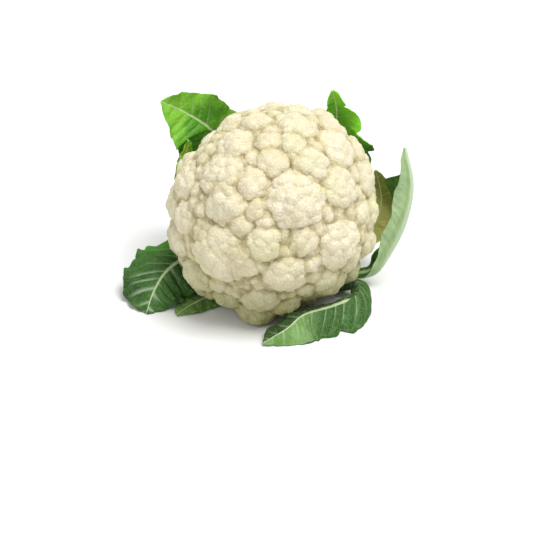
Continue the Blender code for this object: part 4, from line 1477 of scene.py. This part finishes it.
class CAULIFLOWER_OT_stalk(bpy.types.Operator):
    """Adds the stalk below the head and the ends of the trimmed leaves' stalks"""

    bl_idname = "cauliflower.stalk"
    bl_label = "Add Stalk"

    def execute(self, context):
        material = stalk_material("stalk_pale", (0.62, 0.66, 0.42), (0.44, 0.56, 0.28))
        thing = make_stem()
        thing.data.materials.append(material)
        select_only([thing])
        bpy.ops.object.shade_smooth_by_angle(angle=STALK_ANGLE)
        finish_piece(thing, "stem_cut", ["stem"])
        for name, stalk in CUT_STALKS.items():
            make_cut_stalk(name, stalk, material)
        return {"FINISHED"}


class CAULIFLOWER_OT_leaves(bpy.types.Operator):
    """Adds the leaves, each with its rib, side veins, puckers and waved margin"""

    bl_idname = "cauliflower.leaves"
    bl_label = "Add Leaves"

    def execute(self, context):
        settings = context.scene.cauliflower_leaf
        vein = tuple(settings.vein_colour)
        for name, leaf in LEAVES.items():
            look = LEAF_COLOURS[name]
            inner_face = leaf_material(
                name + "_inner_face", look["green"], look["dark"], vein, look["wax_and_sheen"], look["sweeps"], False
            )
            outer = look["outer"]
            shade = tuple(0.70 * value for value in outer)
            outer_vein = tuple(min(1.0, 0.65 * value + 0.25) for value in outer)
            # The outer face takes the same sweeps, their painted shade included, halfway to its own
            # colour.
            outer_sweeps = [
                (*sweep[:3], tuple(0.5 * (value + other) for value, other in zip(outer, sweep[3])))
                for sweep in look["sweeps"]
            ]
            outer_face = leaf_material(
                name + "_outer_face", outer, shade, outer_vein, 0.5 * look["wax_and_sheen"], outer_sweeps, True
            )
            make_leaf(name, leaf, settings, (inner_face, outer_face))
        return {"FINISHED"}


def floor_material(colour):
    """A pale matt floor with the faintest unevenness."""
    material, tree, shader = new_material("floor_pale")
    places = object_places(tree)
    cloudy = noise(tree, places, 3.0, 2.0, 0.5)
    shade = tuple(0.985 * value for value in colour)
    link(tree, mix_colours(tree, cloudy, colour, shade), shader.inputs["Base Color"])
    set_inputs(shader, Roughness=0.85, Specular_IOR_Level=0.1)
    return material


def add_light(name, place, target, size, power):
    """A square soft light that looks at the target."""
    data = bpy.data.lights.new(name, "AREA")
    data.size = size
    data.energy = power
    thing = bpy.data.objects.new(name, data)
    bpy.context.scene.collection.objects.link(thing)
    aim_at(thing, np.array(place), target)


def aim_at(thing, place, target):
    """Puts a light or a camera at a place, looking at a target, with its top upwards."""
    back = unit(place - target)
    right = unit(np.cross((0.0, 0.0, 1.0), back))
    upward = np.cross(back, right)
    turned = np.eye(4)
    turned[:3, 0] = right
    turned[:3, 1] = upward
    turned[:3, 2] = back
    turned[:3, 3] = place
    thing.matrix_world = Matrix(turned.tolist())


class CAULIFLOWER_OT_stage(bpy.types.Operator):
    """Adds a pale floor, soft studio lights and a camera at the view's angle"""

    bl_idname = "cauliflower.stage"
    bl_label = "Add Stage"

    def execute(self, context):
        stage = context.scene.cauliflower_stage
        deselect_all()
        bpy.ops.mesh.primitive_plane_add(size=FLOOR_SIZE)
        floor = context.object
        floor.name = "floor"
        floor.data.materials.append(floor_material(tuple(stage.floor_colour)))
        add_light("key_light", KEY_PLACE, HEAD_CENTRE, KEY_SIZE, stage.key_power)
        add_light("fill_light", FILL_PLACE, HEAD_CENTRE, FILL_LIGHT_SIZE, stage.fill_power)
        world = bpy.data.worlds.new("white_room")
        world.use_nodes = True
        white = (1.0, 1.0, 1.0, 1.0)
        set_inputs(world.node_tree.nodes["Background"], Color=white, Strength=stage.sky)
        context.scene.world = world
        context.scene.view_settings.view_transform = "Standard"
        data = bpy.data.cameras.new("camera")
        data.lens = stage.lens
        data.sensor_width = SENSOR_WIDTH
        camera = bpy.data.objects.new("camera", data)
        context.scene.collection.objects.link(camera)
        target = HEAD_CENTRE - AIM_BELOW * VIEW_UP - AIM_LEFT * VIEW_RIGHT
        aim_at(camera, target + VIEW_DISTANCE * VIEW_TOWARDS, target)
        context.scene.camera = camera
        return {"FINISHED"}


class CAULIFLOWER_PT_panel(bpy.types.Panel):
    """Lists the cauliflower's pieces and sizes in the sidebar"""

    bl_label = "Cauliflower"
    bl_idname = "CAULIFLOWER_PT_panel"
    bl_space_type = "VIEW_3D"
    bl_region_type = "UI"
    bl_category = "Cauliflower"

    def draw(self, context):
        layout = self.layout
        for settings in (
            context.scene.cauliflower_curd,
            context.scene.cauliflower_leaf,
            context.scene.cauliflower_stage,
        ):
            for name in settings.__annotations__:
                layout.prop(settings, name)
        for operator in OPERATORS:
            layout.operator(operator.bl_idname)


OPERATORS = (
    CAULIFLOWER_OT_florets,
    CAULIFLOWER_OT_stalk,
    CAULIFLOWER_OT_leaves,
    CAULIFLOWER_OT_stage,
)
SETTINGS = {
    "cauliflower_curd": CurdSettings,
    "cauliflower_leaf": LeafSettings,
    "cauliflower_stage": StageSettings,
}


def register():
    for name, group in SETTINGS.items():
        bpy.utils.register_class(group)
        setattr(bpy.types.Scene, name, PointerProperty(type=group))
    for operator in OPERATORS:
        bpy.utils.register_class(operator)
    bpy.utils.register_class(CAULIFLOWER_PT_panel)


def unregister():
    bpy.utils.unregister_class(CAULIFLOWER_PT_panel)
    for operator in reversed(OPERATORS):
        bpy.utils.unregister_class(operator)
    for name, group in SETTINGS.items():
        delattr(bpy.types.Scene, name)
        bpy.utils.unregister_class(group)


def main():
    register()
    bpy.ops.cauliflower.florets()
    bpy.ops.cauliflower.stalk()
    bpy.ops.cauliflower.leaves()
    bpy.ops.cauliflower.stage()


if __name__ == "__main__":
    main()
